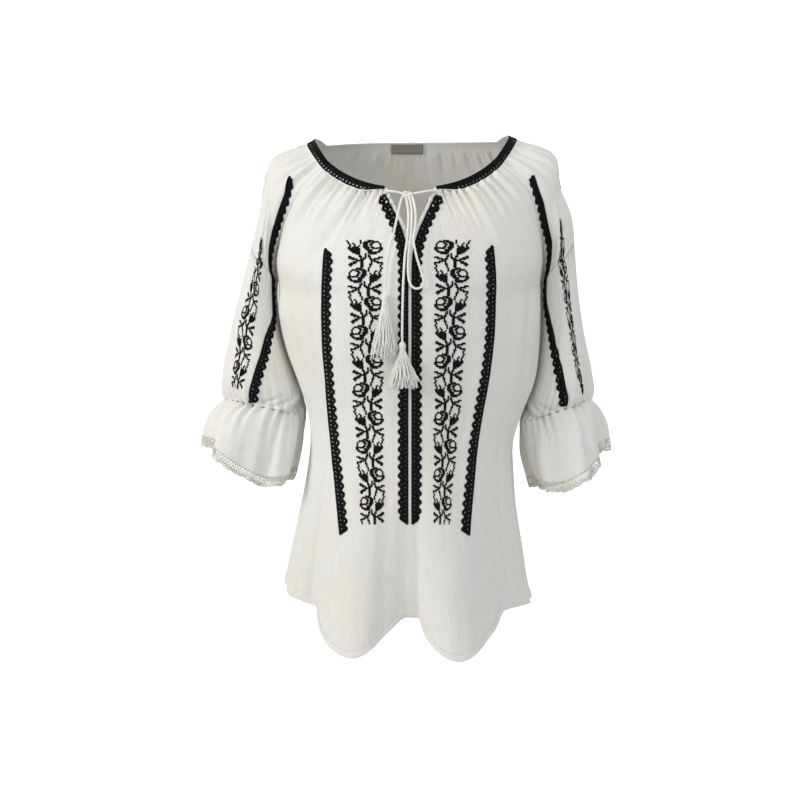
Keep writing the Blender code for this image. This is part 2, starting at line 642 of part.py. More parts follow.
def build_sleeve_trims(plain, looks):
    """One black lace strip on the front side of each sleeve."""
    for side, word in ((-1, "left"), (1, "right")):
        lattice = plain["sleeve"][side]
        normals = lattice_normals(lattice, tube_outward(lattice))
        stations = [(place.row * SLEEVE_ROW_LENGTH, place.angle) for place in SLEEVE_TRIMS[side]]
        rows = []
        for index, (length, angle) in enumerate(spread(stations, SCALLOP_STEP)):
            v = length / SLEEVE_ROW_LENGTH
            arc = float(np.clip(blend([ring.arc for ring in SLEEVES[side]], v), 0, 180))
            k = (1 - angle / arc) * SLEEVE_COLUMNS / 2
            station = []
            lift = TRIM_LIFT + SLEEVE_TRIM_CLEAR + float(blend([ring.gather for ring in SLEEVES[side]], v))
            station.append(lifted(lattice, normals, v, k, lift))
            for _ in range(2):
                k = step_round(lattice, v, k, (TRIM_WIDTH + scallop_at(index)) / 2)
                station.append(lifted(lattice, normals, v, k, lift))
            rows.append(station)
        sheet("trim_sleeve_" + word, np.array(rows), looks["black lace"], wall=TRIM_WALL)


def step_round(lattice, v, k, distance):
    """Column reached from k after going the distance towards the front edge, along row v."""
    start = on_lattice(lattice, v, k)
    low = k - 6.0
    high = k
    for _ in range(30):
        middle = (low + high) / 2
        if np.linalg.norm(on_lattice(lattice, v, middle) - start) > distance:
            low = middle
        else:
            high = middle
    return middle


def neck_stations(plain):
    """Places round the neckline, from the slit's left corner over the back to its right one.

    Each is a list of lattices and columns, two at a seam, and the rows of the trim's edges.
    """
    front_rows = np.array(NECK_TRIM_ROWS)
    back_rows = np.array(NECK_TRIM_BACK_ROWS)
    legs = [
        (plain["front"][-1], torso_outward, 0.0, float(HALF_COLUMNS), front_rows, front_rows),
        (plain["sleeve"][-1], tube_outward, 0.0, float(SLEEVE_COLUMNS), front_rows, back_rows),
        (plain["back"], torso_outward, 0.0, float(BACK_COLUMNS), back_rows, back_rows),
        (plain["sleeve"][1], tube_outward, float(SLEEVE_COLUMNS), 0.0, back_rows, front_rows),
        (plain["front"][1], torso_outward, float(HALF_COLUMNS), 0.0, front_rows, front_rows),
    ]
    stations = []
    for lattice, outward, first, last, first_edges, last_edges in legs:
        normals = lattice_normals(lattice, outward(lattice))
        length = np.sum(np.linalg.norm(np.diff(lattice[0], axis=0), axis=1))
        shares = np.linspace(0, 1, int(round(length / SCALLOP_STEP)) + 1)
        leg = [([(lattice, normals, first + (last - first) * share)],
                first_edges + (last_edges - first_edges) * share) for share in shares]
        if stations:
            places, edges = stations[-1]
            stations[-1] = (places + leg[0][0], edges)
            leg = leg[1:]
        stations += leg
    return stations


def build_neck_trim(plain, looks):
    """The black lace round the neckline, its shallow scallops upwards."""
    rows = []
    for index, (places, (top, bottom)) in enumerate(neck_stations(plain)):
        scallop = NECK_SCALLOP if index % 2 else 0.0
        station = []
        for row in (top - scallop, bottom):
            gather = float(blend([m.gather for m in FRONT_MIDDLE], max(row, 1)))
            points = [on_lattice(lattice, row, k) for lattice, _, k in places]
            outs = [unit(on_lattice(normals, max(row, 0), k)) for _, normals, k in places]
            station.append(np.mean(points, axis=0) + unit(np.mean(outs, axis=0)) * (TRIM_LIFT + gather))
        rows.append(station)
    sheet("neck_trim", np.array(rows), looks["black lace"], wall=TRIM_WALL)


def build_slit_binding(plain, looks):
    """The white binding of the slit's two edges, in the plane of the front."""
    for side, word in ((-1, "left"), (1, "right")):
        lattice = plain["front"][side]
        rows = []
        for v in np.linspace(0.0, BINDING_END, 10):
            edge = on_lattice(lattice, v, 0)
            inward = unit(on_lattice(lattice, v, 1) - edge)
            rows.append([edge - inward * SEAM_GAP, edge - inward * (SEAM_GAP + BINDING)])
        sheet("slit_binding_" + word, np.array(rows), looks["cloth"], wall=BINDING_WALL)


def build_label(plain, looks):
    """The blank woven label inside the back neck."""
    lattice = plain["back"]
    normals = lattice_normals(lattice, torso_outward(lattice))
    gather = max(row.gather for row in BACK_MIDDLE[:2])
    rows = []
    for v in np.linspace(*LABEL_ROWS, 3):
        row = []
        for x in np.linspace(*LABEL_X, 7):
            seam = abs(float(seam_point(BACK_RAGLAN, 1 if x > 0 else -1, v)[0]))
            angle = math.radians(float(blend([m.arc for m in BACK_MIDDLE], v)))
            share = math.asin(x * math.sin(angle) / seam) / angle
            k = (share + 1) * BACK_COLUMNS / 2
            row.append(lifted(lattice, normals, v, k, -(TRIM_LIFT + gather)))
        rows.append(row)
    sheet("neck_label", np.array(rows), looks["label"], wall=TRIM_WALL)


def build_cords(looks):
    """The tie: two bridges to the knot, two hanging ends and a loop."""
    for name, route in CORDS.items():
        points = spread(route, CORD_STEP)
        curve = bpy.data.curves.new(name, "CURVE")
        curve.dimensions = "3D"
        curve.bevel_depth = CORD / 2 * MM
        curve.bevel_resolution = 2
        curve.use_fill_caps = True
        line = curve.splines.new("POLY")
        line.points.add(len(points) - 1)
        for place, point in zip(line.points, points):
            place.co = (*(point * MM), 1)
        add_object(name, curve, looks["cord"])
    shape = bmesh.new()
    bmesh.ops.create_uvsphere(shape, u_segments=12, v_segments=8, radius=1)
    bmesh.ops.scale(shape, vec=np.array(KNOT_RADII) * MM, verts=shape.verts)
    mesh = bpy.data.meshes.new("tie_knot")
    shape.to_mesh(mesh)
    shape.free()
    mesh.shade_smooth()
    knot = add_object("tie_knot", mesh, looks["cord"])
    knot.location = np.array(KNOT) * MM


def strand(shape, root, tip):
    """One three-sided lock that swells and spreads from its root to its tip."""
    rings = []
    for share in (0.0, 0.45, 1.0):
        centre = root + (tip - root) * np.array([share ** 0.8, share ** 0.8, share])
        size = STRAND_ROOT + (STRAND_TIP - STRAND_ROOT) * share
        ring = []
        for corner in range(3):
            angle = 2 * math.pi * corner / 3 + root[0]
            offset = np.array([math.cos(angle), math.sin(angle), 0]) * size
            ring.append(shape.verts.new((centre + offset) * MM))
        rings.append(ring)
    for upper, lower in zip(rings, rings[1:]):
        for corner in range(3):
            after = (corner + 1) % 3
            shape.faces.new([upper[corner], lower[corner], lower[after], upper[after]])
    shape.faces.new(rings[0])
    shape.faces.new(rings[-1][::-1])


def build_tassels(looks):
    """Two tassels: a wrapped head with its strands fused into the underside."""
    for name, tassel in TASSELS.items():
        head_at = np.array(tassel.head, float)
        shape = bmesh.new()
        bmesh.ops.create_uvsphere(shape, u_segments=12, v_segments=8, radius=1)
        bmesh.ops.scale(shape, vec=np.array(HEAD_RADII) * MM, verts=shape.verts)
        bmesh.ops.translate(shape, vec=head_at * MM, verts=shape.verts)
        mesh = bpy.data.meshes.new(name)
        shape.to_mesh(mesh)
        shape.free()
        head = add_object(name, mesh, looks["cord"])
        shape = bmesh.new()
        for index in range(tassel.strands):
            radius = math.sqrt((index + 0.5) / tassel.strands)
            angle = index * math.radians(137.508)
            across = radius * math.cos(angle)
            through = radius * math.sin(angle)
            root = head_at + np.array([across * ROOT_WIDTH, through * ROOT_DEPTH, -ROOT_DROP])
            reach = tassel.reach_left if across < 0 else tassel.reach_right
            hang = tassel.length + STRAND_UNEVEN * math.sin(index * 2.3)
            tip = head_at + np.array([across * reach, through * tassel.depth - STRAND_BACK, -hang])
            strand(shape, root, tip)
        bmesh.ops.recalc_face_normals(shape, faces=shape.faces)
        mesh = bpy.data.meshes.new(name + "_strands")
        shape.to_mesh(mesh)
        shape.free()
        strands = bpy.data.objects.new(name + "_strands", mesh)
        bpy.data.collections["Cutters"].objects.link(strands)
        strands.hide_render = True
        strands.display_type = "WIRE"
        join = head.modifiers.new("Strands", "BOOLEAN")
        join.operation = "UNION"
        join.object = strands


def main():
    for old in list(bpy.data.objects):
        bpy.data.objects.remove(old)
    for name in ("Blouse", "Cutters"):
        collection = bpy.data.collections.new(name)
        bpy.context.scene.collection.children.link(collection)
    looks = {
        "cloth": material("white cotton", (0.93, 0.92, 0.88), 0.9),
        "black lace": material("black lace", (0.012, 0.012, 0.015), 0.7),
        "white lace": material("white lace", (0.92, 0.91, 0.88), 0.85),
        "cord": material("white cord", (0.92, 0.91, 0.86), 0.8),
        "label": material("label", (0.33, 0.31, 0.26), 0.8),
    }
    plain = build_panels(looks)
    build_front_trims(plain, looks)
    build_sleeve_trims(plain, looks)
    build_neck_trim(plain, looks)
    build_slit_binding(plain, looks)
    build_label(plain, looks)
    build_cords(looks)
    build_tassels(looks)


main()
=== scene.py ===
"""The looks of a white peasant blouse with black lace, cross-stitched roses and a tasselled tie.

Tables and shapes are in millimetres and become metres in each mesh. X runs to the viewer's
right, the front faces -Y and +Z is up.
"""
import math
from collections import namedtuple

import bmesh
import bpy
import numpy as np
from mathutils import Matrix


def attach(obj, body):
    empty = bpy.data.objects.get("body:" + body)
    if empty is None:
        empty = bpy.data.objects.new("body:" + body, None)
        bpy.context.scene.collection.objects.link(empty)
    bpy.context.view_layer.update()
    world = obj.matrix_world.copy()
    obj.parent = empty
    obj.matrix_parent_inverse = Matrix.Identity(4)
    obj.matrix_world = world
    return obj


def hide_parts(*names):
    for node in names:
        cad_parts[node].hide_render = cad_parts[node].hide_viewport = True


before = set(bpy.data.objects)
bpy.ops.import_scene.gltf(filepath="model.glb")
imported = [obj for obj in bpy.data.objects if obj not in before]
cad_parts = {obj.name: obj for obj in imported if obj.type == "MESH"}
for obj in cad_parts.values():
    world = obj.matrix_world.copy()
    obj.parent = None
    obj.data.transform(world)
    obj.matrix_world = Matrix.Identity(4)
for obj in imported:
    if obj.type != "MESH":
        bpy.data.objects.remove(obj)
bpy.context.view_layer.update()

# Studio: a level camera straight in front, a pale floor, a pale wall and soft lights.
CAMERA_AT = (-0.013, -1.8, -0.338)
SENSOR = 36.0
FRAME_SIDE = 1.04
camera_data = bpy.data.cameras.new("camera")
camera_data.sensor_width = SENSOR
camera_data.lens = SENSOR * -CAMERA_AT[1] / FRAME_SIDE
camera = bpy.data.objects.new("camera", camera_data)
camera.location = CAMERA_AT
camera.rotation_euler = (math.radians(90), 0, 0)
bpy.context.scene.collection.objects.link(camera)
bpy.context.scene.camera = camera
bpy.context.scene.view_settings.view_transform = "Standard"
FLOOR_Z = -0.95
WALL_Y = 3.5
STUDIO_REACH = 7.0


def set_values(node, values):
    """Set a node's inputs by their names."""
    for name, value in values.items():
        node.inputs[name].default_value = value


def new_look(name, values):
    """A material, its nodes, its links and its shader with the shader's values set."""
    look = bpy.data.materials.new(name)
    look.use_nodes = True
    shader = look.node_tree.nodes["Principled BSDF"]
    set_values(shader, values)
    return look, look.node_tree.nodes, look.node_tree.links, shader


paper = new_look("studio paper", {
    "Base Color": (0.9, 0.9, 0.9, 1), "Roughness": 1.0, "Specular IOR Level": 0.0,
    "Emission Color": (1, 1, 1, 1), "Emission Strength": 0.85})[0]
for name, near, far in (("studio_floor", (-STUDIO_REACH, FLOOR_Z), (STUDIO_REACH, FLOOR_Z)),
                        ("studio_wall", (WALL_Y, FLOOR_Z), (WALL_Y, STUDIO_REACH))):
    sheet_mesh = bpy.data.meshes.new(name)
    sheet_mesh.from_pydata([(-STUDIO_REACH, *near), (STUDIO_REACH, *near),
                            (STUDIO_REACH, *far), (-STUDIO_REACH, *far)], [], [(0, 1, 2, 3)])
    sheet_mesh.materials.append(paper)
    sheet = bpy.data.objects.new(name, sheet_mesh)
    bpy.context.scene.collection.objects.link(sheet)
    sheet.visible_diffuse = False


def soft_light(name, place, aim, size, power, colour):
    """A square area light that shines from its place towards its aim."""
    lamp = bpy.data.lights.new(name, "AREA")
    lamp.size = size
    lamp.energy = power
    lamp.color = colour
    light = bpy.data.objects.new(name, lamp)
    light.location = place
    x, y, z = np.array(aim) - np.array(place)
    light.rotation_euler = (math.atan2(math.hypot(x, y), -z), 0, math.atan2(y, x) - math.radians(90))
    bpy.context.scene.collection.objects.link(light)


soft_light("left_light", (-2.0, -1.05, 0.35), (0, 0, -0.33), 0.9, 25, (1.0, 0.985, 0.945))
soft_light("right_light", (1.5, -1.5, -0.1), (0, 0, -0.33), 0.9, 5.5, (0.97, 0.98, 1.0))
soft_light("top_light", (0.1, -0.9, 1.0), (0, 0.06, 0), 0.5, 4, (1.0, 0.99, 0.97))
soft_light("rear_light", (0.3, 1.9, 0.9), (0, 0, -0.3), 1.4, 2, (1.0, 1.0, 1.0))
world = bpy.data.worlds.new("studio")
world.use_nodes = True
set_values(world.node_tree.nodes["Background"], {"Color": (1, 1, 1, 1), "Strength": 0.50})
bpy.context.scene.world = world

# Tie: two twisted cotton cords, 3.2 mm thick, sewn to the corners of the slit and knotted in
# front of it. The right one hangs in a loop below the knot before its end. Each ends in a
# tassel, whose head it runs into.
MM = 0.001
CORD = 3.2
CORD_LAY = 9.0
CORD_STEP = 0.8
CORD_SIDES = 12
TIE_LEFT = [
    (-30, -97, -80.5), (-22, -99.5, -81.8), (-16, -100.5, -83), (-10.9, -101, -84.6), (-7.4, -101.6, -86.6),
    (-10.6, -102.5, -90), (-13, -105, -98), (-16, -110, -112), (-20.4, -117.5, -133), (-26, -123, -152.7),
    (-29.6, -126.5, -175), (-30.5, -128, -192), (-31, -128.5, -209.2), (-31, -128.6, -230),
]
TIE_RIGHT = [
    (32, -97, -79.5), (22, -99.5, -81.2), (11, -100.8, -83.4), (2.5, -101, -85), (-2.0, -101.8, -87),
    (-1.3, -103, -91.6), (1.0, -106, -102), (1.2, -111, -114), (0.6, -118, -134), (-0.8, -122.4, -148.6),
    (-2.8, -126, -162.7), (-3.4, -128, -181), (-2.2, -128.6, -193.3), (1.3, -128.8, -200.7),
    (6.9, -128.8, -203.6), (13, -128.8, -201.2), (15.4, -128.8, -193), (11.4, -128.8, -179.5),
    (6.4, -128.6, -162.5), (3.2, -127.4, -145), (5.0, -121.4, -129.5), (6.0, -112.5, -111),
    (2.5, -104, -91), (-1.4, -102, -86), (-4.8, -102, -87.4), (-5.2, -103, -91.8), (-3.6, -106, -102),
    (-2.8, -110.5, -114), (-3.6, -118, -134), (-5.4, -122, -150.5), (-7.4, -126, -167), (-9, -129, -195),
    (-10, -129.5, -229), (-10.4, -128.5, -250), (-10.4, -128, -267.4), (-10.4, -128, -279),
]


def blend(rows, v):
    """Smooth value at row v of a list of numbers or points (Catmull-Rom, straight ends)."""
    table = np.array(rows, float)
    v = np.clip(np.asarray(v, float), 0, len(table) - 1)
    i = np.minimum(v.astype(int), len(table) - 2)
    f = (v - i).reshape(v.shape + (1,) * (table.ndim - 1))
    before = table[np.maximum(i - 1, 0)]
    start = table[i]
    end = table[i + 1]
    after = table[np.minimum(i + 2, len(table) - 1)]
    return start + 0.5 * f * (end - before + f * (2 * before - 5 * start + 4 * end - after
                                                  + f * (3 * (start - end) + after - before)))


def run_along(points):
    """Length from the first point to each point of a path."""
    return np.concatenate([[0], np.cumsum(np.linalg.norm(np.diff(points, axis=0), axis=1))])


def spread(path, step):
    """Points along a smooth curve through the path's points, about one step apart."""
    fine = blend(path, np.linspace(0, len(path) - 1, 40 * len(path)))
    run = run_along(fine)
    wanted = np.linspace(0, run[-1], max(int(round(run[-1] / step)), 2) + 1)
    return np.stack([np.interp(wanted, run, fine[:, axis]) for axis in range(fine.shape[1])], axis=1)


def unit(vectors):
    """Vectors brought to length one."""
    return vectors / np.maximum(np.linalg.norm(vectors, axis=-1, keepdims=True), 1e-9)


def threads(centres, normals, half_width, half_height, sides, closed=False):
    """Points and faces of round or flattened threads.

    centres and normals are arrays of threads x stations x 3. Round a station, the point at
    angle a is half_width cos a across the run and half_height sin a along the normal. Open
    threads are shut at both ends by a fan of faces.
    """
    count, stations = centres.shape[:2]
    run = np.roll(centres, -1, 1) - np.roll(centres, 1, 1) if closed else np.gradient(centres, axis=1)
    across = unit(np.cross(run, normals))
    up = unit(np.cross(across, run))
    angle = np.arange(sides) * 2 * np.pi / sides
    wide = np.broadcast_to(half_width, (count, stations, sides)) * np.cos(angle)
    high = np.broadcast_to(half_height, (count, stations, sides)) * np.sin(angle)
    points = centres[:, :, None] + across[:, :, None] * wide[..., None] + up[:, :, None] * high[..., None]
    first = np.arange(count)[:, None, None] * (stations * sides)
    ring = np.arange(stations if closed else stations - 1)[None, :, None] * sides
    next_ring = (ring + sides) % (stations * sides)
    side = np.arange(sides)[None, None, :]
    after = (side + 1) % sides
    quads = [np.stack([first + ring + side, first + next_ring + side,
                       first + next_ring + after, first + ring + after], axis=-1).reshape(-1, 4)]
    if not closed:
        fan = np.array([(0, 2 * k + 1, 2 * k + 2, 2 * k + 3) for k in range(sides // 2 - 1)])
        quads.append((first + fan[None]).reshape(-1, 4))
        quads.append((first + (stations - 1) * sides + fan[None, :, ::-1]).reshape(-1, 4))
    return points.reshape(-1, 3), np.concatenate(quads)


def joined(parts):
    """One array of points and one of faces from several such pairs."""
    offsets = np.cumsum([0] + [len(points) for points, _ in parts[:-1]])
    points = np.concatenate([points for points, _ in parts])
    return points, np.concatenate([quads + start for (_, quads), start in zip(parts, offsets)])


def add_piece(name, points, quads, look, uv=None):
    """A smooth mesh through points in mm with four-cornered faces, riding on the blouse."""
    mesh = bpy.data.meshes.new(name)
    quads = np.ascontiguousarray(quads, dtype=np.int32)
    mesh.vertices.add(len(points))
    mesh.vertices.foreach_set("co", np.ascontiguousarray(points * MM, dtype=np.float32).ravel())
    mesh.loops.add(quads.size)
    mesh.loops.foreach_set("vertex_index", quads.ravel())
    mesh.polygons.add(len(quads))
    mesh.polygons.foreach_set("loop_start", np.arange(0, quads.size, 4, dtype=np.int32))
    mesh.update(calc_edges=True)
    if uv is not None:
        layer = mesh.uv_layers.new(name="Cloth")
        layer.data.foreach_set("uv", np.ascontiguousarray(uv[quads.ravel()], dtype=np.float32).ravel())
    mesh.shade_smooth()
    mesh.materials.append(look)
    piece = bpy.data.objects.new(name, mesh)
    bpy.context.scene.collection.objects.link(piece)
    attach(piece, "root")
    return piece


def added(nodes, kind, values):
    """A new node of a kind with its inputs set."""
    node = nodes.new(kind)
    set_values(node, values)
    return node


def two_shades(nodes, links, height, dark, light, low=0.0, high=1.0):
    """A ramp from the dark shade at low to the light one at high."""
    tint = nodes.new("ShaderNodeValToRGB")
    for stop, place, shade in zip(tint.color_ramp.elements, (low, high), (dark, light)):
        stop.position = place
        stop.color = (*shade, 1)
    links.new(height, tint.inputs["Fac"])
    return tint.outputs["Color"]


def bumped(nodes, links, height, strength, distance):
    """A bump node on a height, in metres."""
    bump = added(nodes, "ShaderNodeBump", {"Strength": strength, "Distance": distance})
    links.new(height, bump.inputs["Height"])
    return bump


def yarn(name, dark, light, rough, gloss, sheen, lay_scale):
    """Cotton yarn: two close shades in soft patches and a fine fibre bump on object places."""
    look, nodes, links, shader = new_look(name, {
        "Roughness": rough, "Specular IOR Level": gloss, "Sheen Weight": sheen, "Sheen Roughness": 0.45})
    place = nodes.new("ShaderNodeTexCoord").outputs["Object"]
    patch = added(nodes, "ShaderNodeTexNoise", {"Scale": 160.0, "Detail": 3.0})
    links.new(place, patch.inputs["Vector"])
    tint = two_shades(nodes, links, patch.outputs["Fac"], dark, light, 0.3, 0.7)
    links.new(tint, shader.inputs["Base Color"])
    fibre = added(nodes, "ShaderNodeTexNoise", {"Scale": lay_scale, "Detail": 4.0})
    links.new(place, fibre.inputs["Vector"])
    bump = bumped(nodes, links, fibre.outputs["Fac"], 0.5, 0.0002)
    links.new(bump.outputs["Normal"], shader.inputs["Normal"])
    return look


cord_yarn = yarn("cotton cord", (0.86, 0.85, 0.79), (0.92, 0.915, 0.87), 0.8, 0.3, 0.2, 2600.0)
FORWARD = np.array([0.0, -1.0, 0.0])


def cord_piece(name, path):
    """A cord of three plies: its radius at angle a is R (0.88 + 0.12 cos 3(a - turn of the lay))."""
    centres = spread(path, CORD_STEP)
    angle = np.arange(CORD_SIDES) * 2 * np.pi / CORD_SIDES
    lay = 2 * np.pi * run_along(centres)[:, None] / CORD_LAY
    radius = CORD / 2 * (0.88 + 0.12 * np.cos(3 * (angle - lay)))
    normals = 0 * centres + FORWARD
    points, quads = threads(centres[None], normals[None], radius[None], radius[None], CORD_SIDES)
    return add_piece(name, points, quads, cord_yarn), centres


tie_left, tie_left_path = cord_piece("tie_left", TIE_LEFT)
tie_right, tie_right_path = cord_piece("tie_right", TIE_RIGHT)
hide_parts("tie_bridge_left", "tie_tail_left")
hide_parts("tie_bridge_right", "tie_loop", "tie_tail_centre")

# Knot: the two cords drawn together in a small overhand knot, a three-crossing ring of cord.
KNOT = (-4.2, -101, -85.5)
KNOT_SPREAD = (1.55, 2.0, 1.15)
KNOT_CORD = 1.45
turn = np.linspace(0, 2 * np.pi, 72, endpoint=False)
knot_line = np.array(KNOT) + np.array(KNOT_SPREAD) * np.stack(
    [np.sin(turn) + 2 * np.sin(2 * turn), -np.sin(3 * turn), np.cos(turn) - 2 * np.cos(2 * turn)], axis=1)
knot_out = unit(knot_line - np.array(KNOT) + 0.01)
knot_points, knot_quads = threads(knot_line[None], knot_out[None], KNOT_CORD, KNOT_CORD, 10, closed=True)
tie_knot = add_piece("tie_knot_cord", knot_points, knot_quads, cord_yarn)
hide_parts("tie_knot")

# Tassels: cotton yarn strands hung from a wrapped head at the end of each cord, which spread
# into a flat, uneven skirt. Three rounds of yarn bind the strands under the head.
Tassel = namedtuple("Tassel", "name head length reach_left reach_right depth")
TASSELS = [
    Tassel("tassel_left", (-31, -128.5, -215), 74, 19, 14, 8),
    Tassel("tassel_centre", (-10.4, -128, -273.2), 52, 19, 23, 8),
]
TASSEL_STRANDS = 96
HEAD_HIGH = 5.8
HEAD_WIDE = 4.5
BIND_DROP = 5.2
BIND_STEP = 1.15
BIND_RADIUS = 3.5
BIND_YARN = 0.7
GOLDEN_ANGLE = 137.508
UP = np.array([0.0, 0.0, 1.0])


def tassel_piece(tassel):
    """A tassel's head, its binding and its strands.

    The head's radius is its width times the root of 1 - t squared, ribbed by the wraps. A
    strand leaves the head's underside, swings out fast and hangs to its own length, with a
    small wave that grows towards its tip.
    """
    head = np.array(tassel.head, float)
    t = np.linspace(-1, 1, 41)
    radius = HEAD_WIDE * np.sqrt(np.maximum(1 - t * t, 0.001)) * (1 + 0.07 * np.cos(2 * np.pi * 4.5 * t))
    axis = head + UP * HEAD_HIGH * t[:, None]
    parts = [threads(axis[None], 0 * axis[None] + FORWARD, radius[None, :, None], radius[None, :, None], 14)]
    around = np.linspace(0, 2 * np.pi, 20, endpoint=False)
    ring = np.stack([np.cos(around), np.sin(around), 0 * around], axis=1)
    drops = BIND_DROP + np.arange(3)[:, None, None] * BIND_STEP
    bands = head + ring[None] * BIND_RADIUS - UP * drops
    parts.append(threads(bands, 0 * bands + UP, BIND_YARN, BIND_YARN, 6, closed=True))
    index = np.arange(TASSEL_STRANDS)
    radius = np.sqrt((index + 0.5) / TASSEL_STRANDS)
    angle = index * math.radians(GOLDEN_ANGLE)
    across = radius * np.cos(angle)
    through = radius * np.sin(angle)
    root = head + np.stack([across * 3.0, through * 2.8, 0 * across - 3.4], axis=1)
    reach = np.where(across < 0, tassel.reach_left, tassel.reach_right)
    hang = tassel.length * (0.9 + 0.1 * np.sin(index * 2.3))
    tip = head + np.stack([across * reach, through * tassel.depth - 2.0, -hang], axis=1)
    share = np.linspace(0, 1, 11)[None, :, None]
    bend = np.concatenate([share ** 1.15, share ** 1.15, share], axis=2)
    line = root[:, None] + (tip - root)[:, None] * bend
    wave = share[..., 0] * (1.1 * np.sin(7 * share[..., 0] + index[:, None] * 1.7))
    sway = share[..., 0] * (0.8 * np.sin(5 * share[..., 0] + index[:, None] * 2.9))
    line = line + np.stack([wave, sway, 0 * wave], axis=2)
    thick = 0.62 + 0.12 * np.sin(9 * share + index[:, None, None])
    parts.append(threads(line, 0 * line + FORWARD, thick, thick, 4))
    points, quads = joined(parts)
    piece = add_piece(tassel.name + "_yarn", points, quads, cord_yarn)
    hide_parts(tassel.name)
    return piece


tassel_left, tassel_centre = [tassel_piece(tassel) for tassel in TASSELS]
for tie, corners, line, others in ((tie_left, TIE_LEFT, tie_left_path, [tassel_left, tie_knot]),
                                   (tie_right, TIE_RIGHT, tie_right_path, [tassel_centre])):
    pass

# Front: one panel of crinkled cotton gauze with a slit at the centre, gathered into the
# neckline. Its hem hangs in two flutes and is turned up 8.5 mm and stitched. A row is a level
# of its seams' and middle line's points, from 0 at the neckline to 16 at the hem.
ARMPIT = 6
SLIT_HALF = 29.0
SLIT_END = 3
BINDING = 2.6
SEAM_GAP = 0.3
CLOTH = 0.7
HANDS = ((-1, "left"), (1, "right"))
Seam = namedtuple("Seam", "name left right")
Middle = namedtuple("Middle", "name y z arc fall")
Flute = namedtuple("Flute", "centre outer_width outer_round inner_width inner_round out drop")
ARMPIT_SEAM = Seam("armpit", (-170, 6, -182), (168, 6, -182))
FRONT_RAGLAN = [
    Seam("neckline", (-107, -47, -35.5), (110, -47, -32.5)),
    Seam("trim edge", (-115, -52, -46.5), (118, -52, -43.5)),
    Seam("collar bone", (-138, -54, -72), (144, -54, -68)),
    Seam("upper chest", (-152, -49, -98), (157, -49, -93)),
    Seam("armhole front", (-164, -37, -126), (166, -37, -121)),
    Seam("underarm front", (-171, -18, -154), (170, -18, -151)),
    ARMPIT_SEAM,
]
SIDES = [
    ARMPIT_SEAM,
    Seam("bust", (-169, 5, -218), (168, 5, -218)),
    Seam("under bust", (-160, 4, -263), (167, 4, -263)),
    Seam("ribs", (-145, 3, -306), (161, 3, -306)),
    Seam("waist", (-133, 2, -345), (147, 2, -345)),
    Seam("below waist", (-129, 1, -390), (134, 1, -390)),
    Seam("high hip", (-134, 0, -435), (134, 0, -435)),
    Seam("hip", (-143, 0, -480), (138, 0, -480)),
    Seam("low hip", (-153, 0, -526), (146, 0, -530)),
    Seam("above hem", (-159, 0, -554), (152, 0, -570)),
    Seam("hem", (-163, 0, -572), (158, 0, -592)),
]
FRONT_MIDDLE = [
    Middle("neckline", -94, -79, 45, 2.1),
    Middle("trim edge", -98, -91.5, 50, 2.1),
    Middle("collar bone", -106, -118, 58, 2.3),
    Middle("upper chest", -115, -146, 70, 2.4),
    Middle("armhole front", -121, -172, 82, 2.2),
    Middle("underarm front", -124, -196, 90, 2.0),
    Middle("armpit", -125, -220, 92, 2.0),
    Middle("bust", -123, -250, 92, 2.0),
    Middle("under bust", -119, -290, 90, 2.0),
    Middle("ribs", -114, -328, 90, 2.0),
    Middle("waist", -110, -364, 90, 2.0),
    Middle("below waist", -107, -406, 90, 2.0),
    Middle("high hip", -105, -449, 90, 2.0),
    Middle("hip", -103, -493, 90, 2.0),
    Middle("low hip", -100, -543, 90, 2.0),
    Middle("above hem", -97, -583, 90, 2.0),
    Middle("hem", -95, -606, 90, 2.0),
]
FRONT_FLUTES = [
    Flute(-0.30, 0.212, 0.22, 0.27, 0.6, 50, 46),
    Flute(0.25, 0.28, 0.6, 0.2, 0.25, 52, 47),
]
FLUTE_ROWS = (10, 16)
FLUTE_GROWTH = 2.2
CORNER_POWER = 8
LAST_ROW = 16.0
HEM_WIDTH = 8.5


def side_of(seams, side):
    """A seam's points on one side."""
    return [seam.left if side < 0 else seam.right for seam in seams]


def seam_point(raglan, side, v):
    """Point of the raglan seam above the armpit and of the side seam below it."""
    above = blend(side_of(raglan, side), v)
    below = blend(side_of(SIDES, side), np.asarray(v, float) - ARMPIT)
    return np.where((np.asarray(v) <= ARMPIT)[..., None], above, below)


def eased_seam(raglan, side, v):
    """The raglan and side seam as one curve, with no corner at the armpit."""
    return blend(side_of(raglan[:ARMPIT] + SIDES, side), v)


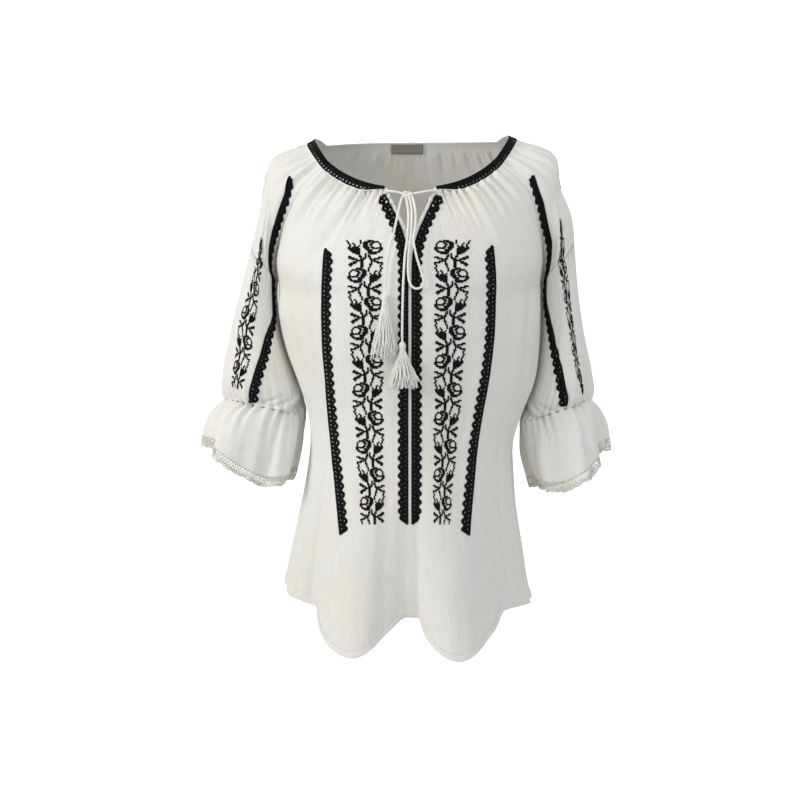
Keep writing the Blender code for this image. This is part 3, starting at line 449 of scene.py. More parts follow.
def torso_form(raglan, middle, flutes, side, s, v):
    """Smooth form of the front or back at share s (0 centre, 1 seam) of row v.

    Each half row is an arc of a circle seen from above, stretched to reach the seam, whose
    height rises from the centre's to the seam's as s to the power fall. Away from the seam
    the arc reaches for the seam without its corner at the armpit. The hem's flutes are cosine
    bells that grow down from row 10.
    """
    eased = eased_seam(raglan, side, v)
    seam = eased + (seam_point(raglan, side, v) - eased) * (np.abs(s) ** CORNER_POWER + 0.0 * v)[..., None]
    y, z, arc, fall = np.moveaxis(blend([row[1:5] for row in middle], v), -1, 0)
    angle = np.radians(arc)
    x = seam[..., 0] * np.sin(s * angle) / np.sin(angle)
    y = y + (seam[..., 1] - y) * (1 - np.cos(s * angle)) / (1 - np.cos(angle))
    z = z + (seam[..., 2] - z) * np.abs(s) ** fall
    first, last = FLUTE_ROWS
    growth = np.clip((np.asarray(v, float) - first) / (last - first), 0, 1) ** FLUTE_GROWTH
    outward = np.sign(middle[-1].y)
    for flute in flutes:
        apart = side * s - flute.centre
        outer = apart * np.sign(flute.centre) > 0
        width = np.where(outer, flute.outer_width, flute.inner_width)
        power = np.where(outer, flute.outer_round, flute.inner_round)
        bell = np.clip((1 + np.cos(np.pi * np.clip(np.abs(apart) / width, 0, 1))) / 2, 0, 1) ** power
        y = y + outward * flute.out * growth * bell
        z = z - flute.drop * growth ** 1.5 * bell
    return np.stack([x, y, z], axis=-1)


def front_share(side, t, v):
    """Share s of the half row for t, from 0 at the slit or centre to 1 at the seam."""
    row = np.clip(v, 0, SLIT_END)
    top = FRONT_MIDDLE[0].z
    bottom = FRONT_MIDDLE[SLIT_END].z
    height = blend([m.z for m in FRONT_MIDDLE], row)
    opening = (SLIT_HALF + BINDING + SEAM_GAP) * (height - bottom) / (top - bottom)
    angle = np.radians(blend([m.arc for m in FRONT_MIDDLE], row))
    seam = np.abs(seam_point(FRONT_RAGLAN, side, row)[..., 0])
    start = np.arcsin(opening * np.sin(angle) / seam) / angle
    return start + (1 - start) * t


def uneven(a, b, seed):
    """Smooth random heights from -1 to 1 with one cell to each unit of a and b."""
    table = np.random.default_rng(seed).uniform(-1, 1, (64, 64))
    i = np.floor(a).astype(int)
    j = np.floor(b).astype(int)
    f = (a - i) ** 2 * (3 - 2 * (a - i))
    g = (b - j) ** 2 * (3 - 2 * (b - j))
    upper = table[i % 64, j % 64] * (1 - f) + table[(i + 1) % 64, j % 64] * f
    lower = table[i % 64, (j + 1) % 64] * (1 - f) + table[(i + 1) % 64, (j + 1) % 64] * f
    return upper * (1 - g) + lower * g


HELD_TOP = 1
LOOSE = 0
HELD_BOTTOM = 2


def folded(groups, a, b):
    """Sum of fold heights: each is a bell across the cloth that drifts and fades along it.

    A fold runs from its place at its top row to place + drift at its bottom row. It is full
    where it is held and dies away from there. A loose one fades at both ends.
    """
    total = np.zeros(np.broadcast(a, b).shape)
    for held, folds in groups:
        for place, drift, width, height, top, bottom in folds:
            inside = np.clip((b - top) / (bottom - top), 0, 1)
            if held == HELD_TOP:
                fade = (1 - inside ** 2) ** 2
            elif held == HELD_BOTTOM:
                fade = (1 - (1 - inside) ** 2) ** 2
            else:
                fade = np.sin(np.pi * inside) ** 1.5
            total = total + height * fade * np.exp(-((a - place - drift * inside) / width) ** 2)
    return total


# Each fold is (place, drift, width, height, top row, bottom row), in groups by how it is held.
# Places and widths are shares of the half front, heights are mm and troughs are negative.
FRONT_FOLDS = {
    -1: [
        (HELD_TOP, [
            (0.335, 0.01, 0.0135, -2, 0.7, 1.9), (0.395, 0.01, 0.0135, -2.4, 0.7, 2.9),
            (0.445, -0.02, 0.012, -3.2, 0.7, 2), (0.525, -0.01, 0.0112, -3.6, 0.7, 3.1),
            (0.615, -0.02, 0.0135, -3.2, 0.7, 2.2), (0.685, 0, 0.015, -2.2, 0.7, 2.6),
            (0.765, -0.06, 0.0188, -3, 0.7, 2.5), (0.84, -0.03, 0.0188, -3, 0.7, 4.1),
            (0.93, 0, 0.0188, -2.4, 0.6, 3), (0.49, 0, 0.027, 2, 0.8, 4.4),
            (0.575, 0.01, 0.0315, 2.4, 0.8, 3), (0.72, -0.02, 0.0315, 2.4, 0.8, 4.5),
            (0.8, 0, 0.027, 2.2, 0.8, 3.9), (0.89, 0.02, 0.0315, 2.6, 0.6, 6.5),
            (0.36, 0, 0.027, 1.2, 0.8, 2.5),
        ]),
        (LOOSE, [
            (0.24, 0, 0.03, -1, 1.8, 4.4), (0.54, 0.01, 0.05, -1.8, 1.6, 4.6),
            (0.5, 0.03, 0.04, -1.5, 4, 10), (0.72, -0.03, 0.05, -1.8, 4, 11),
            (0.33, 0.02, 0.05, 1.4, 6, 13), (0.86, -0.04, 0.05, 2, 5, 12),
        ]),
        (HELD_BOTTOM, [
            (0.62, -0.06, 0.04, -2.4, 8.5, 16.6), (0.93, -0.03, 0.04, -2.4, 8, 16.6),
            (0.78, -0.02, 0.05, 2, 9, 16.6), (0.14, 0, 0.04, -2, 10, 16.6),
        ]),
    ],
    1: [
        (HELD_TOP, [
            (0.32, 0.01, 0.0135, -2, 0.7, 2.4), (0.385, 0, 0.0128, -2.8, 0.7, 2.2),
            (0.45, 0.01, 0.012, -2.6, 0.7, 2.9), (0.515, -0.01, 0.012, -3.2, 0.7, 2.2),
            (0.59, 0.01, 0.0135, -2.6, 0.7, 2.3), (0.665, 0, 0.015, -3, 0.7, 2.6),
            (0.75, -0.02, 0.0165, -2.6, 0.7, 3.2), (0.83, -0.02, 0.0188, -3.2, 0.7, 3),
            (0.925, 0, 0.0188, -2.2, 0.6, 3.5), (0.48, 0, 0.027, 2, 0.8, 3),
            (0.555, 0.01, 0.0315, 2.2, 0.8, 4.8), (0.71, -0.01, 0.0315, 2.6, 0.8, 3.2),
            (0.79, 0, 0.027, 2, 0.8, 4.2), (0.88, 0.02, 0.0315, 2.6, 0.6, 4.5),
            (0.62, 0, 0.027, 1.4, 0.8, 4),
        ]),
        (LOOSE, [
            (0.22, 0, 0.03, -1, 1.8, 4.4), (0.52, 0.02, 0.04, -1.5, 3.6, 9),
            (0.7, -0.02, 0.05, -1.8, 4, 10.5), (0.35, 0, 0.05, 1.4, 6, 13), (0.85, -0.03, 0.05, 2, 5, 12),
        ]),
        (HELD_BOTTOM, [
            (0.66, -0.05, 0.04, -2.4, 8.5, 16.6), (0.92, -0.03, 0.04, -2.4, 8, 16.6),
            (0.8, -0.02, 0.05, 2, 9, 16.6), (0.44, 0.02, 0.04, 1.8, 10, 16.6),
        ]),
    ],
}
FRONT_WIDTH = 210.0
ROW_LENGTH = 33.0
PLEATS = 24
PLEAT_HEIGHT = 1.15
PLEAT_LENGTH = 0.9
FOLD_DEPTH = 1.75
CRINKLE = 0.32


def edge_fade(share, width):
    """0 on a panel's two edges, 1 further in than the width, and smooth between."""
    near = np.clip(np.minimum(share, 1 - share) / width, 0, 1)
    return near * near * (3 - 2 * near)


def short_pleats(a, v, seed):
    """Short uneven pleats under the trim: a sine of uneven phase that dies out down the cloth."""
    phase = 2 * np.pi * PLEATS * (a + 0.4 / PLEATS * uneven(a * PLEATS / 2.2, 0 * v, seed))
    strength = 1 + 0.5 * uneven(a * PLEATS / 1.7, 0 * v + 9, seed)
    below = np.clip((v - 0.75) / PLEAT_LENGTH, 0, None)
    return PLEAT_HEIGHT * strength * np.sin(phase) * np.exp(-below ** 1.3)


def crinkled(across, down, seed):
    """Fine crepe relief: two sizes of uneven cells, longer down the cloth than across it."""
    return CRINKLE * (uneven(across / 7, down / 26, seed) + 0.6 * uneven(across / 3.8, down / 12, seed + 20))


NECK_ROWS = (-0.06, 0.76)
NECK_CORNER_ROW = 0.10
NECK_TAPER = 0.4


def trim_bottom_row(side, s):
    """Row of the neck trim's lower edge: it rises to a point at the slit's corner."""
    corner = front_share(side, 0.0, 0.0)
    taper = np.clip((s - corner) / (NECK_TAPER * (1 - corner)), 0, 1)
    return NECK_CORNER_ROW + (NECK_ROWS[1] - NECK_CORNER_ROW) * taper * taper * (3 - 2 * taper)


def front_folds(side, s, v):
    """Height of all the folds on the front, held flat under the neck trim."""
    relief = short_pleats(s, v, 5 + side) + FOLD_DEPTH * folded(FRONT_FOLDS[side], s, v)
    relief = relief + crinkled(s * FRONT_WIDTH, v * ROW_LENGTH, 7 + side)
    return relief * edge_fade(s, 0.035) * np.clip((v - trim_bottom_row(side, s) + 0.04) / 0.35, 0.05, 1)


ACROSS_PROBE = 0.004
DOWN_PROBE = 0.03


def lifted(form, relief, a, b, sign, lift):
    """Point and unit normal of a form raised by its relief, then moved out by lift.

    Normals are the cross product of the slopes down b and across a, turned outwards by sign.
    """
    def normal_of(surface, c, d):
        """Cross product of the surface's slopes."""
        across = surface(c + ACROSS_PROBE, d) - surface(c - ACROSS_PROBE, d)
        down = surface(c, d + DOWN_PROBE) - surface(c, d - DOWN_PROBE)
        return unit(np.cross(down, across)) * sign

    def raised(c, d):
        """The form moved along its normal by its relief."""
        return form(c, d) + normal_of(form, c, d) * relief(c, d)[..., None]

    normal = normal_of(raised, a, b)
    return raised(a, b) + normal * (np.asarray(lift, float) * np.ones(np.shape(a)))[..., None], normal


def front_form(side, s, v):
    """Form of the front at share s of its left (-1) or right (1) half."""
    return torso_form(FRONT_RAGLAN, FRONT_MIDDLE, FRONT_FLUTES, side, s, v)


def front_cloth(side, s, v, lift=0.0):
    """Point and normal of the folded front."""
    return lifted(lambda a, b: front_form(side, a, b), lambda a, b: front_folds(side, a, b), s, v, side, lift)


def gauze(name, warm, cool):
    """Crinkled cotton gauze: two near whites in wide patches, long fine crinkles with painted shade in their
    hollows and painted highlight on their crests, plain weave.
    """
    look, nodes, links, shader = new_look(name, {
        "Roughness": 0.9, "Specular IOR Level": 0.2, "Sheen Weight": 0.12, "Sheen Roughness": 0.5})
    place = nodes.new("ShaderNodeTexCoord")
    patch = added(nodes, "ShaderNodeTexNoise", {"Scale": 8.0, "Detail": 2.0})
    links.new(place.outputs["Object"], patch.inputs["Vector"])
    stretch = added(nodes, "ShaderNodeMapping", {"Scale": (1.0, 0.13, 1.0)})
    links.new(place.outputs["UV"], stretch.inputs["Vector"])
    crinkle = added(nodes, "ShaderNodeTexNoise", {"Scale": 430.0, "Detail": 3.0})
    links.new(stretch.outputs["Vector"], crinkle.inputs["Vector"])
    # Painted shade and highlight: the crinkle height that drives the bump also darkens the colour in the
    # hollows and lightens it on the crests.
    painted_crinkle_shade = added(nodes, "ShaderNodeMapRange", {"To Min": 0.86, "To Max": 1.04})
    links.new(crinkle.outputs["Fac"], painted_crinkle_shade.inputs["Value"])
    shade = nodes.new("ShaderNodeMix")
    shade.data_type = "RGBA"
    shade.blend_type = "MULTIPLY"
    factor, first, second = [shade.inputs[socket] for socket in (0, 6, 7)]
    factor.default_value = 1.0
    links.new(two_shades(nodes, links, patch.outputs["Fac"], warm, cool, 0.35, 0.65), first)
    links.new(painted_crinkle_shade.outputs["Result"], second)
    links.new(shade.outputs[2], shader.inputs["Base Color"])
    weave = nodes.new("ShaderNodeMath")
    weave.operation = "ADD"
    for socket, (direction, scale, distortion) in enumerate((("X", 290.0, 1.5), ("Y", 250.0, 2.0))):
        yarns = added(nodes, "ShaderNodeTexWave", {"Scale": scale, "Distortion": distortion})
        yarns.bands_direction = direction
        links.new(place.outputs["UV"], yarns.inputs["Vector"])
        links.new(yarns.outputs["Fac"], weave.inputs[socket])
    crinkle_bump = bumped(nodes, links, crinkle.outputs["Fac"], 0.5, 0.0006)
    weave_bump = bumped(nodes, links, weave.outputs["Value"], 0.3, 0.00012)
    links.new(crinkle_bump.outputs["Normal"], weave_bump.inputs["Normal"])
    links.new(weave_bump.outputs["Normal"], shader.inputs["Normal"])
    return look


IVORY = (0.865, 0.85, 0.79)
COOL_WHITE = (0.855, 0.86, 0.84)
cotton = gauze("crinkled cotton", IVORY, COOL_WHITE)


def grid_piece(name, grids, uvs, look, thickness, flips):
    """A cloth wall through grids of points, with touching rims merged and an even thickness."""
    parts = []
    for grid, flip in zip(grids, flips):
        rows, columns = grid.shape[:2]
        corner = (np.arange(rows - 1)[:, None] * columns + np.arange(columns - 1)[None, :]).ravel()
        quads = np.stack([corner, corner + columns, corner + columns + 1, corner + 1], axis=1)
        parts.append((grid.reshape(-1, 3), quads[:, ::-1] if flip else quads))
    points, quads = joined(parts)
    piece = add_piece(name, points, quads, look, np.concatenate([uv.reshape(-1, 2) for uv in uvs]))
    shape = bmesh.new()
    shape.from_mesh(piece.data)
    rim = [vert for vert in shape.verts if vert.is_boundary]
    bmesh.ops.remove_doubles(shape, verts=rim, dist=2e-5)
    shape.to_mesh(piece.data)
    shape.free()
    wall = piece.modifiers.new("Wall", "SOLIDIFY")
    wall.thickness = thickness * MM
    wall.offset = 0
    return piece


def cloth_uv(a, v, width):
    """Place across and down the cloth in metres, so that the weave keeps its real size."""
    return np.stack([a * width * MM, v * ROW_LENGTH * MM], axis=-1)


def stepped(stops, counts):
    """Rising values from stop to stop, with the given number of steps in each stretch."""
    parts = [np.linspace(a, b, n, endpoint=False) for a, b, n in zip(stops, stops[1:], counts)]
    return np.concatenate(parts + [[stops[-1]]])


HEM_PROBE = 0.3
HEM_FOLD_UP = 0.35
STITCH_SINK = 0.6


def hem_row(form, a):
    """Row of the hem's stitch line: the hem's width up from the edge, at the last row's real length."""
    last = LAST_ROW + 0.0 * a
    length = np.linalg.norm(form(a, last) - form(a, last - HEM_PROBE), axis=-1)
    return LAST_ROW - HEM_WIDTH * HEM_PROBE / length


def hem_step(v, stitch_row):
    """The turned-up hem: a small step out below its stitch line, which sinks in the cloth."""
    step = HEM_FOLD_UP * np.clip((v - stitch_row) / 0.03, 0, 1)
    return step - STITCH_SINK * np.exp(-((v - stitch_row) / 0.025) ** 2)


v_grid, t_grid = np.meshgrid(stepped([0, 1, 4, 15.5, LAST_ROW], [7, 48, 140, 18]),
                             stepped([0, 0.04, 1], [3, 76]), indexing="ij")
front_halves = []
front_uvs = []
for side in (-1, 1):
    s_grid = front_share(side, t_grid, v_grid)
    stitch_rows = hem_row(lambda a, b: front_form(side, a, b), s_grid)
    front_halves.append(front_cloth(side, s_grid, v_grid, hem_step(v_grid, stitch_rows))[0])
    front_uvs.append(cloth_uv(side * s_grid, v_grid, FRONT_WIDTH))
front = grid_piece("front", front_halves, front_uvs, cotton, CLOTH, (True, False))
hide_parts("front_panel")

# Back: one plain panel of the same gauze, gathered into the neckline with a narrow plain edge
# above the trim, fuller at the shoulder blades and in two low flutes at the hem.
BACK_RAGLAN = [
    Seam("neckline", (-110, 40, 0), (115, 40, 5)),
    Seam("trim edge", (-121, 47, -9), (126, 47, -4)),
    Seam("shoulder blade", (-136, 57, -32), (141, 57, -28)),
    Seam("upper back", (-149, 62, -64), (154, 62, -60)),
    Seam("armhole back", (-160, 56, -100), (163, 56, -97)),
    Seam("underarm back", (-168, 36, -144), (168, 36, -142)),
    ARMPIT_SEAM,
]
BACK_MIDDLE = [
    Middle("neckline", 66, 9, 40, 2.0),
    Middle("trim edge", 74, -2, 44, 2.0),
    Middle("shoulder blade", 88, -30, 55, 2.0),
    Middle("upper back", 95, -64, 68, 2.0),
    Middle("armhole back", 97, -102, 80, 2.0),
    Middle("underarm back", 96, -144, 90, 2.0),
    Middle("armpit", 93, -184, 92, 2.0),
    Middle("bust", 89, -220, 92, 2.0),
    Middle("under bust", 83, -265, 90, 2.0),
    Middle("ribs", 78, -308, 90, 2.0),
    Middle("waist", 75, -347, 90, 2.0),
    Middle("below waist", 75, -392, 90, 2.0),
    Middle("high hip", 78, -437, 90, 2.0),
    Middle("hip", 82, -483, 90, 2.0),
    Middle("low hip", 87, -534, 90, 2.0),
    Middle("above hem", 91, -572, 90, 2.0),
    Middle("hem", 93, -592, 90, 2.0),
]
BACK_FLUTES = [
    Flute(-0.38, 0.26, 0.6, 0.26, 0.6, 30, 16),
    Flute(0.36, 0.27, 0.6, 0.27, 0.6, 28, 15),
]
BACK_FOLD_DEPTH = 0.8
BACK_FOLDS = [
    (HELD_TOP, [
        (-0.88, 0.02, 0.025, -2.6, 0.9, 4.6), (-0.74, 0, 0.02, -2.4, 0.9, 3.4),
        (-0.62, 0.02, 0.022, -3, 0.9, 4.2), (-0.47, 0, 0.02, -2.4, 0.9, 3.2),
        (-0.33, 0, 0.022, -2.8, 0.9, 4), (-0.19, 0.01, 0.02, -2.2, 0.9, 3),
        (-0.06, 0, 0.022, -2.8, 0.9, 3.8), (0.08, 0, 0.02, -2.4, 0.9, 3.2), (0.22, 0, 0.022, -3, 0.9, 4.2),
        (0.36, -0.01, 0.02, -2.2, 0.9, 3), (0.49, 0, 0.022, -2.8, 0.9, 3.9),
        (0.63, 0, 0.02, -2.4, 0.9, 3.4), (0.76, -0.02, 0.022, -3, 0.9, 4.4),
        (0.89, -0.02, 0.025, -2.4, 0.9, 4.2), (-0.55, 0.02, 0.04, 2.2, 1, 6), (-0.26, 0, 0.04, 2, 1, 5.2),
        (0.02, 0, 0.04, 1.8, 1, 5), (0.29, 0, 0.04, 2.2, 1, 5.8), (0.56, 0.02, 0.04, 2, 1, 5.4),
        (0.82, 0, 0.04, 2.4, 1, 6.2),
    ]),
    (LOOSE, [
        (-0.7, 0.04, 0.05, -1.8, 4.5, 11), (-0.42, 0.02, 0.05, 1.5, 5, 12), (-0.12, 0, 0.05, -1.5, 5.5, 12),
        (0.18, 0, 0.05, 1.4, 5, 11.5), (0.46, -0.02, 0.05, -1.7, 4.5, 11), (0.74, -0.03, 0.05, 1.8, 5, 12),
    ]),
    (HELD_BOTTOM, [
        (-0.8, 0.04, 0.05, -2.4, 8.5, 16.6), (-0.6, 0.03, 0.04, 2, 9, 16.6),
        (-0.12, 0, 0.04, -2.2, 9.5, 16.6), (0.12, 0, 0.05, 1.8, 10, 16.6),
        (0.62, -0.03, 0.04, -2.2, 9, 16.6), (0.84, -0.03, 0.05, 2, 8.5, 16.6),
    ]),
]


def back_form(u, v):
    """Form of the back at u, from -1 at the left seam to 1 at the right one."""
    left = torso_form(BACK_RAGLAN, BACK_MIDDLE, BACK_FLUTES, -1, -u, v)
    right = torso_form(BACK_RAGLAN, BACK_MIDDLE, BACK_FLUTES, 1, u, v)
    return np.where((np.asarray(u) < 0)[..., None], left, right)


def back_folds(u, v):
    """Height of all the folds on the back, held flat under the neck trim."""
    relief = short_pleats((u + 1) / 1.6, v - 0.3, 12) + BACK_FOLD_DEPTH * folded(BACK_FOLDS, u, v)
    relief = relief + crinkled(u * FRONT_WIDTH, v * ROW_LENGTH, 17)
    flat = 1 - 0.9 * np.exp(-((u + 0.03) / 0.2) ** 4) * np.clip((2.0 - v) / 0.6, 0, 1)
    return relief * flat * edge_fade((u + 1) / 2, 0.02) * np.clip((v - 1.02) / 0.4, 0.04, 1)


def back_cloth(u, v, lift=0.0):
    """Point and normal of the folded back."""
    return lifted(back_form, back_folds, u, v, -1, lift)


v_grid, u_grid = np.meshgrid(stepped([0, 1, 4, 15.5, LAST_ROW], [5, 30, 92, 14]),
                             np.linspace(-1, 1, 131), indexing="ij")
back_grid = back_cloth(u_grid, v_grid, hem_step(v_grid, hem_row(back_form, u_grid)))[0]
back_uv = cloth_uv(u_grid, v_grid, FRONT_WIDTH)
back = grid_piece("back", [back_grid], [back_uv], cotton, CLOTH, (True,))
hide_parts("back_panel")

# Sleeves: raglan sleeves of the same gauze, pleated into the neckline, full above the elbow
# and drawn in there by an elastic sewn inside. Below the armpit each is a closed tube.
Ring = namedtuple("Ring", "name outer inner depth arc")
SLEEVES = {
    -1: [
        Ring("neckline", (-122, -5, -2), None, 58, 55),
        Ring("trim edge", (-134, -5, -9), None, 58, 65),
        Ring("shoulder", (-160, -4, -15), None, 60, 80),
        Ring("shoulder point", (-181, -3, -29), None, 59, 95),
        Ring("upper arm top", (-189.5, -1, -66), None, 56, 115),
        Ring("upper arm", (-196, 0, -104), None, 52, 145),
        Ring("armpit", (-205, 4, -137), (-173, 8, -184), 48, 180),
        Ring("bust", (-216, 6, -180), (-173, 12, -218), 48, 180),
        Ring("mid arm", (-228, 5, -226), (-163.5, 13, -262), 50, 180),
        Ring("above elbow", (-237, 4, -268), (-149.5, 12, -303), 53, 180),
        Ring("elbow", (-242, 2, -302), (-139.5, 10, -334), 54, 180),
        Ring("above elastic", (-241, 1, -323), (-137, 8, -348), 51, 180),
        Ring("elastic", (-236, 0, -336), (-139, 6, -358), 46, 180),
    ],
    1: [
        Ring("neckline", (127, -5, 2), None, 58, 55),
        Ring("trim edge", (139, -5, -3), None, 58, 65),
        Ring("shoulder", (168, -4, -10), None, 60, 80),
        Ring("shoulder point", (189, -3, -23), None, 59, 95),
        Ring("upper arm top", (194, -1, -60), None, 56, 115),
        Ring("upper arm", (207, 0, -94), None, 52, 145),
        Ring("armpit", (213, 4, -130), (171, 8, -184), 48, 180),
        Ring("bust", (216, 6, -174), (171.5, 12, -220), 48, 180),
        Ring("mid arm", (221, 5, -222), (170, 13, -264), 50, 180),
        Ring("above elbow", (228, 4, -264), (164, 12, -308), 53, 180),
        Ring("elbow", (234, 2, -300), (153, 10, -341), 54, 180),
        Ring("above elastic", (235, 1, -323), (147, 8, -356), 51, 180),
        Ring("elastic", (231, 0, -337), (145.5, 6, -367), 45, 180),
    ],
}
ELASTIC_ROW = 12.0
# Places are turns, from 1 at the front edge over 0 outside to -1 behind.
SLEEVE_FOLDS = {
    -1: [
        (HELD_TOP, [
            (0.88, -0.04, 0.06, -2.6, 0.7, 4.2), (0.68, -0.04, 0.05, -3, 0.7, 3.6),
            (0.5, -0.02, 0.05, -3, 0.7, 3.2), (0.3, 0, 0.05, -2.6, 0.7, 3), (0.1, 0, 0.06, -2.6, 0.7, 2.8),
            (-0.14, 0, 0.05, -2.6, 0.7, 3), (-0.36, 0.02, 0.06, -3, 0.7, 3.4),
            (-0.6, 0.02, 0.06, -2.8, 0.7, 3.8), (-0.82, 0.03, 0.06, -2.6, 0.7, 4),
            (0.78, -0.04, 0.07, 2.2, 0.8, 4.6), (0.4, 0, 0.07, 2, 0.8, 4), (-0.48, 0, 0.08, 2, 0.8, 4.4),
        ]),
        (LOOSE, [
            (0.46, 0.16, 0.035, -2.2, 3, 5.4), (0.56, 0.14, 0.05, 1.8, 3.2, 6),
            (0.3, 0.1, 0.05, -1.6, 4.5, 8), (-0.4, -0.12, 0.05, -2, 3.4, 6.4),
        ]),
        (HELD_BOTTOM, [
            (0.2, 0.06, 0.07, -2.2, 7, 12.3), (0.56, -0.08, 0.06, -2.6, 9, 12.3),
            (0.74, -0.1, 0.06, 2.6, 8.5, 12.3), (0.4, -0.04, 0.07, 2.4, 8, 12.3),
            (0.88, -0.1, 0.05, -2.6, 9.4, 12.3), (0.04, 0.04, 0.07, 2.2, 8.6, 12.3),
            (-0.18, 0, 0.06, -2.4, 8, 12.3), (-0.42, 0.04, 0.07, 2.4, 8.6, 12.3),
            (-0.62, 0.06, 0.06, -2.6, 9, 12.3), (-0.82, 0.08, 0.06, 2.2, 9.4, 12.3),
        ]),
        (LOOSE, [
            (0.92, -0.4, 0.03, -3.2, 9.2, 12.1), (0.98, -0.38, 0.035, 2.6, 8.8, 12.1),
            (0.99, -0.3, 0.03, -3, 9.6, 12.1), (0.97, -0.16, 0.03, -2.6, 10, 12.1),
            (0.76, -0.34, 0.03, -2.2, 9.8, 12.1),
        ]),
    ],
    1: [
        (HELD_TOP, [
            (0.87, -0.04, 0.06, -2.6, 0.7, 4), (0.66, -0.03, 0.05, -3, 0.7, 3.4),
            (0.47, -0.02, 0.05, -2.6, 0.7, 3.4), (0.27, 0, 0.05, -3, 0.7, 3),
            (0.07, 0, 0.06, -2.4, 0.7, 2.8), (-0.16, 0, 0.05, -2.8, 0.7, 3.2),
            (-0.38, 0.02, 0.06, -2.8, 0.7, 3.4), (-0.62, 0.02, 0.06, -3, 0.7, 3.6),
            (-0.84, 0.03, 0.06, -2.4, 0.7, 4.2), (0.76, -0.04, 0.07, 2.2, 0.8, 4.4),
            (0.37, 0, 0.07, 2, 0.8, 4.2), (-0.5, 0, 0.08, 2, 0.8, 4.2),
        ]),
        (LOOSE, [
            (0.42, 0.18, 0.035, -2.2, 3.4, 5.6), (0.54, 0.14, 0.05, 1.8, 3.4, 6.2),
            (0.28, 0.06, 0.05, -1.8, 5, 9), (-0.42, -0.1, 0.05, -2, 3.6, 6.6),
        ]),
        (HELD_BOTTOM, [
            (0.16, 0.06, 0.06, -2.8, 6.5, 12.3), (0.54, -0.06, 0.06, -2.4, 9, 12.3),
            (0.72, -0.08, 0.06, 2.6, 8.8, 12.3), (0.36, -0.02, 0.07, 2.4, 8.2, 12.3),
            (0.86, -0.1, 0.05, -2.6, 9.2, 12.3), (0, 0.04, 0.07, 2.2, 8.4, 12.3),
            (-0.2, 0, 0.06, -2.4, 8.2, 12.3), (-0.44, 0.04, 0.07, 2.4, 8.8, 12.3),
            (-0.64, 0.06, 0.06, -2.6, 9.2, 12.3), (-0.84, 0.08, 0.06, 2.2, 9.2, 12.3),
        ]),
        (LOOSE, [
            (0.94, -0.34, 0.03, -3, 9.4, 12.1), (0.99, -0.34, 0.035, 2.4, 9, 12.1),
            (0.98, -0.24, 0.03, -2.8, 9.8, 12.1), (0.8, -0.3, 0.03, -2.2, 10, 12.1),
        ]),
    ],
}
ELASTIC_PLEATS = 27
ELASTIC_HEIGHT = 2.9
SLEEVE_WIDTH = 150.0
SLEEVE_FOLD_DEPTH = 1.4
LAST_SLEEVE_ROW_LENGTH = 16.0


def sleeve_form(side, turn, v):
    """Form of a sleeve: a closed oval, or an arc between the two raglan seams above the armpit.

    At an angle a from the outer point, the height between the ring's middle and its outer
    point goes as cos a, and the reach forward goes as sin a.
    """
    rings = SLEEVES[side]
    v = np.asarray(v, float)
    inner = blend([ring.inner for ring in rings[ARMPIT:]], v - ARMPIT)
    upper = (v <= ARMPIT)[..., None]
    front_edge = np.where(upper, seam_point(FRONT_RAGLAN, side, np.minimum(v, ARMPIT)), inner)
    back_edge = np.where(upper, seam_point(BACK_RAGLAN, side, np.minimum(v, ARMPIT)), inner)
    ease = np.clip((v - ARMPIT + 4) / 4, 0, 1)[..., None] ** 1.5
    step_out = np.array(rings[ARMPIT].inner) - seam_point(FRONT_RAGLAN, side, ARMPIT)
    front_edge = np.where(upper, front_edge + ease * step_out, front_edge)
    back_edge = np.where(upper, back_edge + ease * step_out, back_edge)
    outer = blend([ring.outer for ring in rings], v)
    depth, arc = np.moveaxis(blend([ring[3:5] for ring in rings], v), -1, 0)
    arc = np.radians(np.where(v >= ARMPIT, 180, np.minimum(arc, 180)))
    middle = (front_edge + back_edge) / 2
    chord = front_edge - back_edge
    half_chord = np.linalg.norm(chord, axis=-1) / 2
    forward = np.where((half_chord > 1)[..., None], chord / np.maximum(2 * half_chord, 1)[..., None], FORWARD)
    angle = turn * arc
    height = ((np.cos(angle) - np.cos(arc)) / (1 - np.cos(arc)))[..., None]
    reach = depth * np.sin(angle) + (half_chord - depth * np.sin(arc)) * turn
    return middle + (outer - middle) * height + forward * reach[..., None]


def elastic_pleats(turn, down, side):
    """Pleats that the elastic draws: a sine of uneven phase round the arm.

    It dies out with the distance from the elastic in mm, each pleat at its own length.
    """
    phase = np.pi * ELASTIC_PLEATS * turn
    phase = phase + 0.9 * np.sin(2 * np.pi * turn + 1 + side) + 0.6 * np.sin(5 * np.pi * turn + 2)
    strength = 1 + 0.35 * np.sin(7 * np.pi * turn + 0.5 * side)
    reach = 22 + 9 * np.sin(4 * np.pi * turn + side) + 7 * np.sin(11 * np.pi * turn)
    return ELASTIC_HEIGHT * strength * np.sin(phase) * np.exp(-(np.abs(down) / reach) ** 1.4)


def sleeve_folds(side, turn, v):
    """Height of a sleeve's folds: shoulder pleats, soft creases and the elastic's pleats."""
    relief = SLEEVE_FOLD_DEPTH * folded(SLEEVE_FOLDS[side], turn, v)
    relief = relief + crinkled(turn * SLEEVE_WIDTH, v * ROW_LENGTH, 27 + side)
    held = 0.76 + 0.3 * np.clip((1 - turn) / 2, 0, 1)
    relief = relief * np.clip((v - held) / 0.4, 0.05, 1) * np.clip((ELASTIC_ROW - v) / 0.35, 0.15, 1)
    fade = np.where(v < ARMPIT, edge_fade((turn + 1) / 2, 0.03), edge_fade((turn + 1) / 2, 0.012))
    return relief * fade + elastic_pleats(turn, (ELASTIC_ROW - v) * LAST_SLEEVE_ROW_LENGTH, side)


def sleeve_cloth(side, turn, v, lift=0.0):
    """Point and normal of a folded sleeve."""
    return lifted(lambda a, b: sleeve_form(side, a, b), lambda a, b: sleeve_folds(side, a, b),
                  turn, v, -side, lift)


